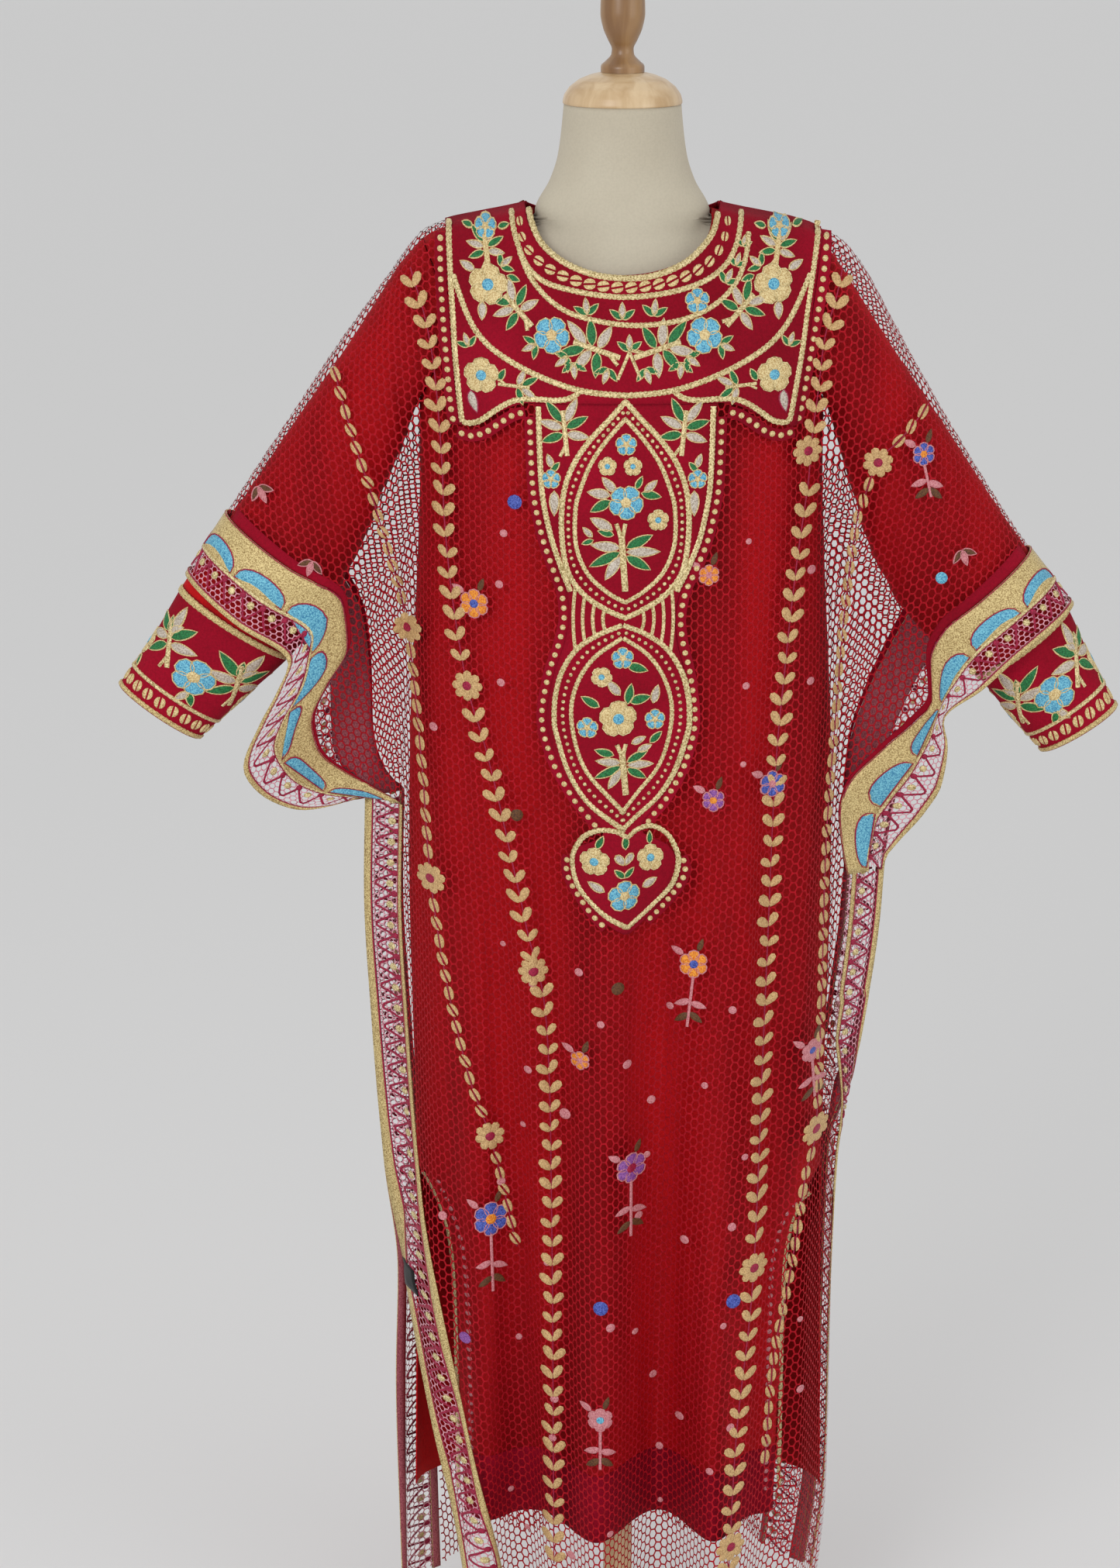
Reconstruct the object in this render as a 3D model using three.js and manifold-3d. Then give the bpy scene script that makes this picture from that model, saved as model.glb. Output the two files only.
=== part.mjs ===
// A net over-thobe of the Gulf kind, worn over an opaque red dress on a limbless dress form.
// Millimetres, +Z up. The origin is the middle of the stand's underside, on the floor. The front faces -Y,
// and "left" is the side of -X.
import * as THREE from "three";
import { mergeVertices } from "three/addons/utils/BufferGeometryUtils.js";
import Module from "manifold-3d";

const solids = await Module();
solids.setup();

// ---------- driving sizes ----------

const SEAM = 0.3; // between two sewn pieces
const DRESS_CLOTH = 1.5;
const NET_CLOTH = 1.2;
const APPLIQUE = 1.6; // the stiff embroidered pieces
const LAID_ON = 0.6; // an applied piece stands this far off the net

const HEM_DRESS = 193;
const SLIT_DRESS = 545; // top of the dress's side slits
const ARMPIT = 1331;
const SHOULDER_TIP = 1486;
const NECK_POINT = 1515; // where the dress's shoulder seam meets the neck
const NECK_HALF = 87; // half the width of the neckline
const NECK_DROP_FRONT = 60;
const NECK_DROP_BACK = 22;

const NET_LIFT = 5; // the net lies this much higher than the dress on the shoulders
const SIDE_BAND = 38; // width of the narrow border
const NET_FRONT_HEM = 128;
const NET_BACK_HEM = 84;

const LEFT = -1;
const RIGHT = 1;
const FRONT = -1;
const BACK = 1;

// ---------- small mathematics ----------

const lerp = (a, b, t) => a + (b - a) * t;
const clamp = (t, low = 0, high = 1) => Math.min(high, Math.max(low, t));
const smooth = (low, high, t) => {
  const s = clamp((t - low) / (high - low));
  return s * s * (3 - 2 * s);
};
const quarter = Math.PI / 2;

// The larger of several depths, rounded where they are alike.
const roundedMax = (...depths) =>
  Math.pow(depths.reduce((sum, d) => sum + Math.pow(Math.max(d, 0), 6), 0), 1 / 6);

// A smooth curve through points, which never overshoots them. Beyond its ends it stays level.
function curve(at, value) {
  const n = at.length;
  const step = at.slice(1).map((x, i) => x - at[i]);
  const slope = step.map((h, i) => (value[i + 1] - value[i]) / h);
  const tangent = value.map((_, i) => {
    if (i === 0) return slope[0];
    if (i === n - 1) return slope[n - 2];
    if (slope[i - 1] * slope[i] <= 0) return 0;
    const a = 2 * step[i] + step[i - 1];
    const b = step[i] + 2 * step[i - 1];
    return (a + b) / (a / slope[i - 1] + b / slope[i]);
  });
  return (x) => {
    if (x <= at[0]) return value[0];
    if (x >= at[n - 1]) return value[n - 1];
    let i = 0;
    while (x > at[i + 1]) i++;
    const t = (x - at[i]) / step[i];
    const rise = t * t * (3 - 2 * t);
    return (
      lerp(value[i], value[i + 1], rise) +
      step[i] * (t * (1 - t) * (1 - t) * tangent[i] - t * t * (1 - t) * tangent[i + 1])
    );
  };
}

// A table of named columns, read by its first column.
function table(names, rows) {
  const columns = names.map((_, i) => rows.map((row) => row[i]));
  return Object.fromEntries(names.slice(1).map((name, i) => [name, curve(columns[0], columns[i + 1])]));
}

// A line through (x, z) points, read from 0 to 1 by length.
function line(points) {
  const run = [0];
  for (let i = 1; i < points.length; i++)
    run.push(run[i - 1] + Math.hypot(points[i][0] - points[i - 1][0], points[i][1] - points[i - 1][1]));
  const along = run.map((r) => r / run[run.length - 1]);
  const x = curve(along, points.map((p) => p[0]));
  const z = curve(along, points.map((p) => p[1]));
  return (t) => [x(t), z(t)];
}

// A patch between four lines that share their ends: low and high run with u, inner and outer with w.
function patch(low, high, inner, outer) {
  const corners = [low(0), low(1), high(0), high(1)];
  return (u, w) => {
    const a = low(u);
    const b = high(u);
    const c = inner(w);
    const d = outer(w);
    return [0, 1].map(
      (i) =>
        lerp(a[i], b[i], w) + lerp(c[i], d[i], u) -
        lerp(lerp(corners[0][i], corners[1][i], u), lerp(corners[2][i], corners[3][i], u), w),
    );
  };
}

// ---------- tables of the form and the two garments ----------

// The dress form's trunk: half width, and depths before and behind its axis.
const trunk = table(["z", "side", "front", "back"], [
  [800, 150, 92, 94],
  [815, 158, 98, 100],
  [900, 166, 104, 104],
  [980, 160, 104, 98],
  [1060, 142, 98, 88],
  [1140, 128, 94, 80],
  [1200, 140, 106, 84],
  [1270, 156, 114, 90],
  [1340, 168, 103, 92],
  [1400, 178, 88, 89],
  [1450, 185, 70, 80],
  [1474, 184, 57, 71],
  [1486, 178, 48, 66],
  [1492, 168, 41, 58],
  [1497, 150, 33, 50],
  [1502, 120, 24, 40],
  [1507, 92, 12, 24],
  [1512, 60, 4, 8],
]);

// The form's neck, which the trunk is rounded into.
const neck = table(["z", "side", "front", "back"], [
  [1430, 84, 60, 62],
  [1490, 84.5, 63, 64],
  [1505, 84.4, 63, 64],
  [1515, 84.2, 62.5, 63.5],
  [1521, 82, 62, 63],
  [1542, 70, 61, 61],
  [1567, 62, 59, 59],
  [1603, 57.5, 57, 57],
  [1615, 56.5, 56.5, 56.5],
]);

// The dress: half width and depths at each level.
const dress = table(["z", "side", "front", "back"], [
  [193, 210, 85, 104],
  [545, 206, 104, 106],
  [850, 211, 120, 106],
  [1000, 209, 124, 104],
  [1100, 204, 126, 100],
  [1200, 199, 128, 98],
  [1270, 197, 127, 99],
  [1331, 197, 116, 101],
  [1400, 199, 100, 98],
  [1450, 200, 81, 90],
  [1474, 198, 67, 81],
  [1486, 192, 58, 75],
  [1494, 178, 51, 70],
  [1500, 160, 44, 65],
  [1505, 136, 37, 59],
  [1510, 110, 29, 51],
  [1515, 87, 21, 38],
]);

// The front of the dress below its slits: where its free edge runs, and how far that edge stands forward.
const slit = table(["z", "edge", "forward"], [
  [193, 158, 66],
  [300, 161, 60],
  [400, 166, 50],
  [475, 173, 34],
  [520, 189, 12],
  [545, 206, 0],
]);

// The dress's large folds, as shares of its half width: crests where high is above 0, troughs below.
const FOLD_TOP = 1150;
const dressFolds = {
  [FRONT]: [
    [-0.71, 0.12, 45],
    [-0.42, 0.13, -16],
    [-0.11, 0.15, 66],
    [0.19, 0.12, -20],
    [0.45, 0.13, 66],
    [0.8, 0.1, 26],
  ],
  [BACK]: [
    [-0.6, 0.14, 34],
    [-0.22, 0.14, 40],
    [0.16, 0.13, 34],
    [0.55, 0.15, 40],
  ],
};

// The net's own folds, on top of the dress's: x at the shoulder end and at the hem, half width, height.
const netFolds = {
  [FRONT]: [
    [-112, -70, 17, 24],
    [-175, -188, 20, 20],
    [-20, 8, 22, 12],
    [118, 128, 17, 24],
    [60, 62, 18, 11],
    [178, 186, 18, 20],
  ],
  [BACK]: [
    [-120, -130, 26, 22],
    [-40, -46, 26, 22],
    [44, 40, 26, 22],
    [126, 132, 26, 22],
  ],
};

// The net below the sleeve: half width to its border's outer edge.
const netEdge = {
  [LEFT]: table(["z", "front", "back"], [
    [60, 148, 224],
    [143, 158, 226],
    [300, 191, 229],
    [430, 218, 226],
    [544, 238, 239],
    [700, 250, 250],
    [831, 256, 256],
    [929, 254, 254],
  ]),
  [RIGHT]: table(["z", "front", "back"], [
    [60, 199, 199],
    [205, 214, 214],
    [430, 217, 217],
    [556, 222, 222],
    [620, 232, 232],
    [687, 245, 245],
    [807, 261, 261],
    [855, 264, 264],
  ]),
};

// Low down on the right the net's side seam has swung round behind: share of the turn, from 0 to 1.
const SWUNG = 0.31; // the whole turn, in radians
const BAND_ANGLE = 0.4; // what the border takes of the turn there
const swung = { [LEFT]: () => 0, [RIGHT]: (z) => smooth(760, 560, z) };

// Where the net's side seam ends below, and the wide sleeve's opening begins.
const netLow = { [LEFT]: 929, [RIGHT]: 855 };

// The line over shoulder and arm where the net's front meets its back.
const netTop = {
  [LEFT]: curve(
    [90, 113, 139, 163, 181, 195, 205, 226, 273, 330, 387, 428],
    [1519, 1513.5, 1508.5, 1503.5, 1498, 1492, 1481, 1452, 1388, 1303, 1218, 1156],
  ),
  [RIGHT]: curve(
    [90, 113, 139, 163, 181, 195, 210, 233, 270, 309, 402, 446],
    [1519, 1513.5, 1508.5, 1503.5, 1499, 1494, 1487, 1461, 1395, 1327, 1182, 1126],
  ),
};

// The wide sleeve's opening, from its lowest corner up to the wrist: inner and outer edge of its border.
const netOpening = {
  [LEFT]: {
    [FRONT]: {
      inner: line([[216, 929], [258, 946], [300, 982], [305, 1012], [290, 1050], [268, 1092], [272, 1136],
        [326, 1174], [387, 1218]]),
      outer: line([[254, 929], [315, 916], [353, 932], [373, 966], [356, 1012], [338, 1046], [326, 1076],
        [376, 1115], [428, 1156]]),
    },
    [BACK]: {
      inner: line([[216, 929], [238, 960], [248, 1000], [250, 1050], [256, 1100], [282, 1148], [330, 1180],
        [387, 1218]]),
      outer: line([[254, 929], [292, 938], [316, 968], [318, 1012], [312, 1060], [332, 1092], [378, 1120],
        [428, 1156]]),
    },
  },
  [RIGHT]: {
    [FRONT]: {
      inner: line([[226, 855], [219, 890], [216, 920], [221, 940], [259, 982], [290, 1012], [306, 1036], [303, 1080],
        [314, 1109], [343, 1134], [402, 1182]]),
      outer: line([[264, 855], [266, 866], [277, 882], [303, 915], [319, 948], [323, 988], [318, 1014],
        [355, 1051], [394, 1088], [446, 1126]]),
    },
    [BACK]: {
      inner: line([[226, 855], [225, 920], [230, 980], [246, 1030], [270, 1076], [300, 1118], [346, 1144],
        [402, 1182]]),
      outer: line([[264, 855], [269, 890], [280, 940], [300, 986], [322, 1026], [350, 1062], [394, 1094],
        [446, 1126]]),
    },
  },
};

// The dress's sleeves: upper and lower edge seen from the front, and half depth. The cuff is the last stretch.
const CUFF_AT = 5;
const sleeveNames = ["ring", "topX", "topZ", "lowX", "lowZ", "depth"];
const sleeve = {
  [LEFT]: table(sleeveNames, [
    [1, 216.6, 1459.4, 211, 1292, 51],
    [2, 265.6, 1383.4, 232, 1241, 52],
    [3, 323.6, 1300.4, 262, 1170, 49],
    [4, 381.6, 1215.4, 296, 1112, 45],
    [5, 431.4, 1144.9, 325, 1075, 41],
    [6, 463, 1092, 373, 1031, 35],
    [7, 497, 1044, 419, 989, 29],
  ]),
  [RIGHT]: table(sleeveNames, [
    [1, 213.3, 1457.8, 211, 1290, 51],
    [2, 256.3, 1390.8, 229, 1230, 52],
    [3, 313.3, 1306.8, 253, 1163, 49],
    [4, 380.3, 1206.8, 291, 1106, 45],
    [5, 438.3, 1126.8, 350, 1056, 41],
    [6, 464, 1074, 386, 1014, 35],
    [7, 493, 1022, 420, 976, 29],
  ]),
};

// Half the width of the stiff panel down the front: bib, two pointed medallions and a heart.
const PANEL_TOP = 1343;
const panelMiddle = curve([829, 892, 930, 1040, 1150, 1222, 1343], [4, 4, 0, -4, 0, 2.5, 2.5]);
const panelHalf = curve(
  [829, 836, 858, 893, 915, 924, 931, 960, 1000, 1040, 1085, 1118, 1140, 1163, 1185, 1222, 1268, 1343],
  [2, 12, 34, 52, 44, 26, 17, 38, 59, 68, 62, 53, 50, 53, 62, 75, 83, 86],
);

// ---------- depth of each layer, before or behind the axis, at a place (x, z) ----------

const oval = (share) => Math.sqrt(Math.max(0, 1 - share * share));
const facing = (face) => (face === FRONT ? "front" : "back");

function formDepth(x, z, face) {
  const side = facing(face);
  return roundedMax(trunk[side](z) * oval(x / trunk.side(z)), neck[side](z) * oval(x / neck.side(z)));
}

function foldDepth(x, z, face) {
  const grown = Math.pow(clamp((FOLD_TOP - z) / (FOLD_TOP - HEM_DRESS), 0, 1.1), 1.25);
  const share = x / dress.side(z);
  const waves = dressFolds[face].reduce(
    (sum, [at, width, high]) => sum + high * Math.exp(-(((share - at) / width) ** 2)),
    0,
  );
  return grown * waves;
}

// Half the width of the dress's front or back; the front is narrower beside its slits.
const dressEdge = (z, face) => (face === FRONT && z < SLIT_DRESS ? slit.edge(z) : dress.side(z));

// grow is 0 on the dress itself, and the clearance of whatever lies over it.
function dressDepth(x, z, face, grow = 0) {
  const edge = dressEdge(z, face);
  const forward = face === FRONT ? slit.forward(z) : 0;
  const reach = Math.abs(x) / (edge + grow);
  const depth = dress[facing(face)](z) + grow;
  const flat = forward > 0 ? forward + grow : 0;
  const fading = Math.exp(-((Math.max(0, Math.abs(x) - edge - grow) / 26) ** 2));
  const folds = foldDepth(x, z, face) * clamp(4 * (1 - reach));
  return fading * (flat + (depth - flat) * oval(reach)) + folds;
}

const armSlope = 0.557; // turns a drop below the arm's top line into a distance from that slanting line

function armDepth(x, z, side) {
  const below = Math.max(0, netTop[side](x) - z) * armSlope;
  const round = 70;
  const over = lerp(64, 52, smooth(220, 420, x)) * oval(1 - Math.min(below, round) / round);
  const hanging = lerp(1, 0.3 * smooth(netLow[side] + 5, netLow[side] + 120, z), smooth(85, 240, below));
  return over * hanging * smooth(120, 205, x);
}

// The dress as the net feels it: the net spans the slits, and the left one stays open below its tab.
const TAB_TOP = 444;
function bodyUnderNet(x, z, face, clear, width) {
  const out = Math.abs(x);
  const full = dress[facing(face)](z) + clear;
  const bulge = oval(out / (dress.side(z) + clear));
  const folds = foldDepth(x, z, face) * clamp(4 * (1 - out / (dressEdge(z, face) + clear)));
  const forward = face === FRONT ? slit.forward(z) : 0;
  const closing = x > 0 ? 1 : smooth(250, TAB_TOP, z);
  const flat = (forward + clear * smooth(0, 20, forward)) * (1 - closing * smooth(slit.edge(z), width, out));
  return flat + (full - flat) * bulge + folds;
}

function netDepth(x, z, face) {
  const side = x < 0 ? LEFT : RIGHT;
  const out = Math.abs(x);
  const clear = lerp(11, 5, smooth(1330, 1490, z));
  const width = netEdge[side][facing(face)](z);
  const body = bodyUnderNet(x, z - NET_LIFT * smooth(1300, 1500, z), face, clear, width);
  const fin = 96 * Math.pow(oval(out / width), 2.2) * (1 - smooth(1150, 1400, z));
  const grown = smooth(1330, 700, z);
  const drop = smooth(1300, HEM_DRESS, z);
  const waves = netFolds[face].reduce((sum, [top, low, half, high]) => {
    const away = (x - lerp(top, low, drop)) / half;
    return sum + high * Math.exp(-away * away);
  }, 0);
  const still = smooth(width, width - 40, out);
  return roundedMax(body, armDepth(out, z, side), fin) + grown * waves * still;
}

// ---------- where each sheet's points are: u runs from the middle (0) to one side (1 or -1), v upwards ----------

const DRESS_UP = 0.72; // share of the rows below the armpit

function armhole(w) {
  return [lerp(197, 192, w) - 25 * Math.sin(Math.PI * w), lerp(ARMPIT, SHOULDER_TIP, w)];
}

// Neckline, then shoulder seam, out to the given half width.
function neckAndShoulder(drop, tip, lift = 0) {
  const neckShare = 0.45;
  return (u) => {
    if (u < neckShare) {
      const angle = quarter * (1 - u / neckShare);
      return [(NECK_HALF + 1.4 * lift) * Math.cos(angle), NECK_POINT + lift - drop * Math.sin(angle)];
    }
    const x = lerp(NECK_HALF + 1.4 * lift, tip, (u - neckShare) / (1 - neckShare));
    return [x, shoulderLine(x - lift) + lift];
  };
}

const shoulderLine = curve([87, 110, 136, 160, 178, 192], [1515, 1510, 1505, 1500, 1494, 1486]);

function dressPoint(face) {
  const drop = face === FRONT ? NECK_DROP_FRONT : NECK_DROP_BACK;
  const yoke = patch(
    (u) => [dress.side(ARMPIT) * Math.sin(u * quarter), ARMPIT],
    neckAndShoulder(drop, 192),
    (w) => [0, lerp(ARMPIT, NECK_POINT - drop, w)],
    armhole,
  );
  return (U, v) => {
    const u = Math.abs(U);
    let x, z;
    if (v < DRESS_UP) {
      z = lerp(HEM_DRESS, ARMPIT, v / DRESS_UP);
      x = dressEdge(z, face) * Math.sin(u * quarter);
    } else [x, z] = yoke(u, (v - DRESS_UP) / (1 - DRESS_UP));
    x *= Math.sign(U);
    return new THREE.Vector3(x, face * (dressDepth(x, z, face) + SEAM / 2), z);
  };
}

// The net: rows up to NET_UP lie below the sleeve, and those above it run out along the arm.
const NET_UP = 0.56;

function netTopLine(side, drop) {
  const tip = 195;
  const bodyShare = 0.5;
  const body = neckAndShoulder(drop, tip, NET_LIFT);
  const reach = netOpening[side][FRONT].inner(1)[0];
  return (u) => {
    if (u < bodyShare) return body(u / bodyShare);
    const x = lerp(tip, reach, (u - bodyShare) / (1 - bodyShare));
    return [x, netTop[side](x)];
  };
}

const netPatch = {};
for (const side of [LEFT, RIGHT]) {
  netPatch[side] = {};
  for (const face of [FRONT, BACK]) {
    const drop = face === FRONT ? NECK_DROP_FRONT : NECK_DROP_BACK;
    const inner = netOpening[side][face].inner;
    const middle = (netLow[LEFT] + netLow[RIGHT]) / 2;
    netPatch[side][face] = patch(
      (u) => [inner(0)[0] * Math.sin(u * quarter), lerp(middle, inner(0)[1], u)],
      netTopLine(side, drop),
      (w) => [0, lerp(middle, NECK_POINT + NET_LIFT - drop, w)],
      inner,
    );
  }
}

function netHem(u, side, face) {
  const corner = { [LEFT]: face === FRONT ? 96 : 72, [RIGHT]: 80 }[side];
  return lerp(face === FRONT ? NET_FRONT_HEM : NET_BACK_HEM, corner, u * u);
}

// out is how far past the sheet's edge, across the border, from 0 to 1.
function netPlace(U, v, face, out = 0) {
  const side = U < 0 ? LEFT : RIGHT;
  const u = Math.abs(U);
  if (v >= NET_UP) {
    const w = (v - NET_UP) / (1 - NET_UP);
    if (out === 0) return netPatch[side][face](u, w);
    const { inner, outer } = netOpening[side][face];
    return [0, 1].map((i) => lerp(inner(w)[i], outer(w)[i], out));
  }
  const share = v / NET_UP;
  const edgeTop = netLow[side];
  const middle = (netLow[LEFT] + netLow[RIGHT]) / 2;
  const z = lerp(netHem(u, side, face), lerp(middle, edgeTop, u), share);
  const edge = netEdge[side][facing(face)](z);
  const plain = (edge - SIDE_BAND) * Math.sin(u * quarter) + SIDE_BAND * out;
  const turn = swung[side](z);
  if (turn === 0) return [plain, z, face];
  const seam = quarter - face * SWUNG * turn - lerp(0.023, 0.003, turn);
  const angle = lerp(Math.asin(plain / edge), lerp(u * (seam - BAND_ANGLE), seam, out), turn);
  return [edge * Math.sin(angle), z, angle > quarter ? BACK : face];
}

// Where front and back lie flat on each other, each keeps to its own side of the seam.
function netSurface(x, z, face, w) {
  const apart = SEAM / 2 + APPLIQUE * (1 - w);
  return new THREE.Vector3(x, face * (netDepth(x, z, face) + apart), z);
}

const upper = (v) => clamp((v - NET_UP) / (1 - NET_UP));

// The whole sheet: the net from the middle (0) to its edge (1 or -1), and its border from there to 2 or -2.
function sheetPoint(face) {
  return (U, v) => {
    const out = Math.max(0, Math.abs(U) - 1);
    const [x, z, behind = face] = netPlace(clamp(U, -1, 1), v, face, out);
    return netSurface(x * Math.sign(U), z, behind, upper(v));
  };
}

// ---------- solids ----------

// The direction straight out of a surface that runs to the given reach in u; along a seam it stays in its plane.
function normalAt(point, reach, face, u, v) {
  const nudge = 1e-3;
  const across = point(Math.min(reach, u + nudge), v).sub(point(Math.max(-reach, u - nudge), v));
  const up = point(u, Math.min(1, v + nudge)).sub(point(u, Math.max(0, v - nudge)));
  const normal = across.cross(up).multiplyScalar(-face).normalize();
  if (Math.abs(point(u, v).y) < 1) normal.setY(0).normalize();
  return normal;
}

// A closed wall behind a grid of points: point(u, v) gives its outer side, and the wall grows inwards.
function wall(point, us, vs, thickness, face, reach = 1) {
  const outer = [];
  const inner = [];
  for (const v of vs)
    for (const u of us) {
      const p = point(u, v);
      outer.push(p);
      inner.push(p.clone().addScaledVector(normalAt(point, reach, face, u, v), -thickness));
    }
  return closed(outer, inner, us.length, vs.length, face === BACK);
}

// Joins an outer and an inner grid of the same size into one body.
function closed(outer, inner, columns, rows, turned) {
  const triangles = [];
  const count = outer.length;
  const quad = (a, b, c, d) => (turned ? triangles.push(a, c, b, a, d, c) : triangles.push(a, b, c, a, c, d));
  const at = (i, j) => j * columns + i;
  for (let j = 0; j < rows - 1; j++)
    for (let i = 0; i < columns - 1; i++) {
      const [a, b, c, d] = [at(i, j), at(i + 1, j), at(i + 1, j + 1), at(i, j + 1)];
      quad(a, b, c, d);
      quad(a + count, d + count, c + count, b + count);
    }
  for (let i = 0; i < columns - 1; i++) {
    quad(at(i, 0), at(i, 0) + count, at(i + 1, 0) + count, at(i + 1, 0));
    const top = rows - 1;
    quad(at(i + 1, top), at(i + 1, top) + count, at(i, top) + count, at(i, top));
  }
  for (let j = 0; j < rows - 1; j++) {
    quad(at(0, j + 1), at(0, j + 1) + count, at(0, j) + count, at(0, j));
    const end = columns - 1;
    quad(at(end, j), at(end, j) + count, at(end, j + 1) + count, at(end, j + 1));
  }
  return geometry([...outer, ...inner], triangles);
}

// A tube's wall: ring(t, k) gives its outer side, with t going round from 0 to 1.
function tube(ring, around, rings, thickness) {
  const points = [];
  const inside = [];
  for (const k of rings) {
    const outer = Array.from({ length: around }, (_, i) => ring(i / around, k));
    const middle = outer.reduce((sum, p) => sum.add(p), new THREE.Vector3()).divideScalar(around);
    points.push(...outer);
    inside.push(...outer.map((p, i) => {
      const along = outer[(i + 1) % around].clone().sub(outer[(i + around - 1) % around]);
      const inward = middle.clone().sub(p);
      inward.addScaledVector(along, -inward.dot(along) / along.lengthSq()).normalize();
      return p.clone().addScaledVector(inward, thickness);
    }));
  }
  const count = points.length;
  const triangles = [];
  const quad = (a, b, c, d) => triangles.push(a, b, c, a, c, d);
  const at = (i, j) => j * around + (i % around);
  for (let i = 0; i < around; i++) {
    for (let j = 0; j < rings.length - 1; j++) {
      const [a, b, c, d] = [at(i, j), at(i + 1, j), at(i + 1, j + 1), at(i, j + 1)];
      quad(a, b, c, d);
      quad(a + count, d + count, c + count, b + count);
    }
    const last = rings.length - 1;
    quad(at(i, 0), at(i, 0) + count, at(i + 1, 0) + count, at(i + 1, 0));
    quad(at(i + 1, last), at(i + 1, last) + count, at(i, last) + count, at(i, last));
  }
  return geometry([...points, ...inside], triangles);
}

function geometry(points, triangles) {
  const made = new THREE.BufferGeometry().setFromPoints(points).setIndex(triangles);
  const [p, q, r] = [new THREE.Vector3(), new THREE.Vector3(), new THREE.Vector3()];
  let volume = 0;
  for (let i = 0; i < triangles.length; i += 3) {
    p.copy(points[triangles[i]]);
    q.copy(points[triangles[i + 1]]);
    r.copy(points[triangles[i + 2]]);
    volume += p.dot(q.cross(r));
  }
  if (volume < 0) made.setIndex(triangles.map((_, i) => triangles[i - (i % 3) + [0, 2, 1][i % 3]]));
  made.computeVertexNormals();
  return made;
}

const steps = (low, high, count) => Array.from({ length: count + 1 }, (_, i) => lerp(low, high, i / count));

// ---------- the pieces ----------

const part = new THREE.Group();

const finish = {
  linen: { color: 0xd9d0bd, roughness: 0.8 },
  beech: { color: 0xcfa772, roughness: 0.35 },
  red: { color: 0xa80f1c, roughness: 0.75 },
  net: { color: 0xb3203f, roughness: 0.7 },
  maroon: { color: 0x8c0e26, roughness: 0.8 },
  gold: { color: 0xc7a95a, roughness: 0.45, metalness: 0.4 },
  black: { color: 0x141414, roughness: 0.6 },
};

function add(name, shape, look) {
  const mesh = new THREE.Mesh(shape, new THREE.MeshStandardMaterial(finish[look]));
  mesh.name = name;
  part.add(mesh);
  return mesh;
}

// A round piece turned about +Z from a profile of [radius, height], which starts and ends on the axis.
function turned(profile, sides) {
  const shape = new THREE.LatheGeometry(profile.map(([r, h]) => new THREE.Vector2(r, h)), sides);
  shape.deleteAttribute("normal");
  shape.deleteAttribute("uv");
  shape.rotateX(quarter);
  shape.computeVertexNormals();
  return shape;
}

// Stand.
const BASE_RADIUS = 170;
const BASE_TOP = 30;
const POLE_RADIUS = 15;
const TORSO_FOOT = 800;
add("stand_base", turned([[0, 0], [166, 0], [BASE_RADIUS, 4], [BASE_RADIUS, 12], [160, 20], [60, 24], [34, BASE_TOP],
  [0, BASE_TOP]], 40), "beech");
add("stand_pole", turned([[0, BASE_TOP], [POLE_RADIUS, BASE_TOP], [POLE_RADIUS, TORSO_FOOT - 10],
  [0, TORSO_FOOT - 10]], 20), "beech");
add("stand_flange", turned([[0, TORSO_FOOT - 10], [46, TORSO_FOOT - 10], [46, TORSO_FOOT], [0, TORSO_FOOT]], 24),
  "beech");

// The form, closed from its flat foot to its flat neck top.
const NECK_TOP = 1615;
function formSolid() {
  const around = 28;
  const levels = [TORSO_FOOT, 815, 860, 900, 960, 1020, 1080, 1140, 1200, 1250, 1300, 1350, 1400, 1440, 1465, 1480,
    1489, 1495, 1500, 1505, 1510, 1516, 1526, 1545, 1575, NECK_TOP];
  const points = levels.flatMap((z) =>
    Array.from({ length: around }, (_, i) => {
      const angle = (i / around) * 2 * Math.PI;
      const half = Math.max(trunk.side(z) * (z < 1513 ? 1 : 0), neck.side(z));
      const x = half * Math.cos(angle);
      const face = Math.sin(angle) < 0 ? FRONT : BACK;
      const flat = i % (around / 2) === 0 ? 0 : 1;
      const depth = z < 1513 ? formDepth(x, z, face) : neck[facing(face)](z) * oval(x / half);
      return new THREE.Vector3(x, face * flat * depth, z);
    }),
  );
  const triangles = [];
  levels.slice(1).forEach((_, j) => {
    for (let i = 0; i < around; i++) {
      const next = (i + 1) % around;
      const [a, b] = [j * around + i, j * around + next];
      triangles.push(a, b, b + around, a, b + around, a + around);
    }
  });
  const foot = points.push(new THREE.Vector3(0, 0, TORSO_FOOT)) - 1;
  const top = points.push(new THREE.Vector3(0, 0, NECK_TOP)) - 1;
  const last = (levels.length - 1) * around;
  for (let i = 0; i < around; i++) {
    triangles.push(foot, (i + 1) % around, i, top, last + i, last + ((i + 1) % around));
  }
  return geometry(points, triangles);
}
add("form_torso", formSolid(), "linen");

// Neck cap and finial, turned in beech.
const CAP_RADIUS = 57.5;
const CAP_TOP = 1645;
add("neck_cap", turned([[0, NECK_TOP], [CAP_RADIUS, NECK_TOP], [CAP_RADIUS, NECK_TOP + 3], [56, NECK_TOP + 9],
  [51, NECK_TOP + 16], [42, NECK_TOP + 23], [31, NECK_TOP + 27.5], [20, CAP_TOP], [0, CAP_TOP]], 32), "beech");
add("finial", turned([[0, CAP_TOP], [21, CAP_TOP], [21, CAP_TOP + 6], [17, CAP_TOP + 10], [11, CAP_TOP + 17],
  [10.5, CAP_TOP + 22], [14, CAP_TOP + 30], [19, CAP_TOP + 42], [21.5, CAP_TOP + 56], [21, CAP_TOP + 72],
  [18, CAP_TOP + 88], [12.5, CAP_TOP + 100], [6, CAP_TOP + 107], [0, CAP_TOP + 109]], 24), "beech");

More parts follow.
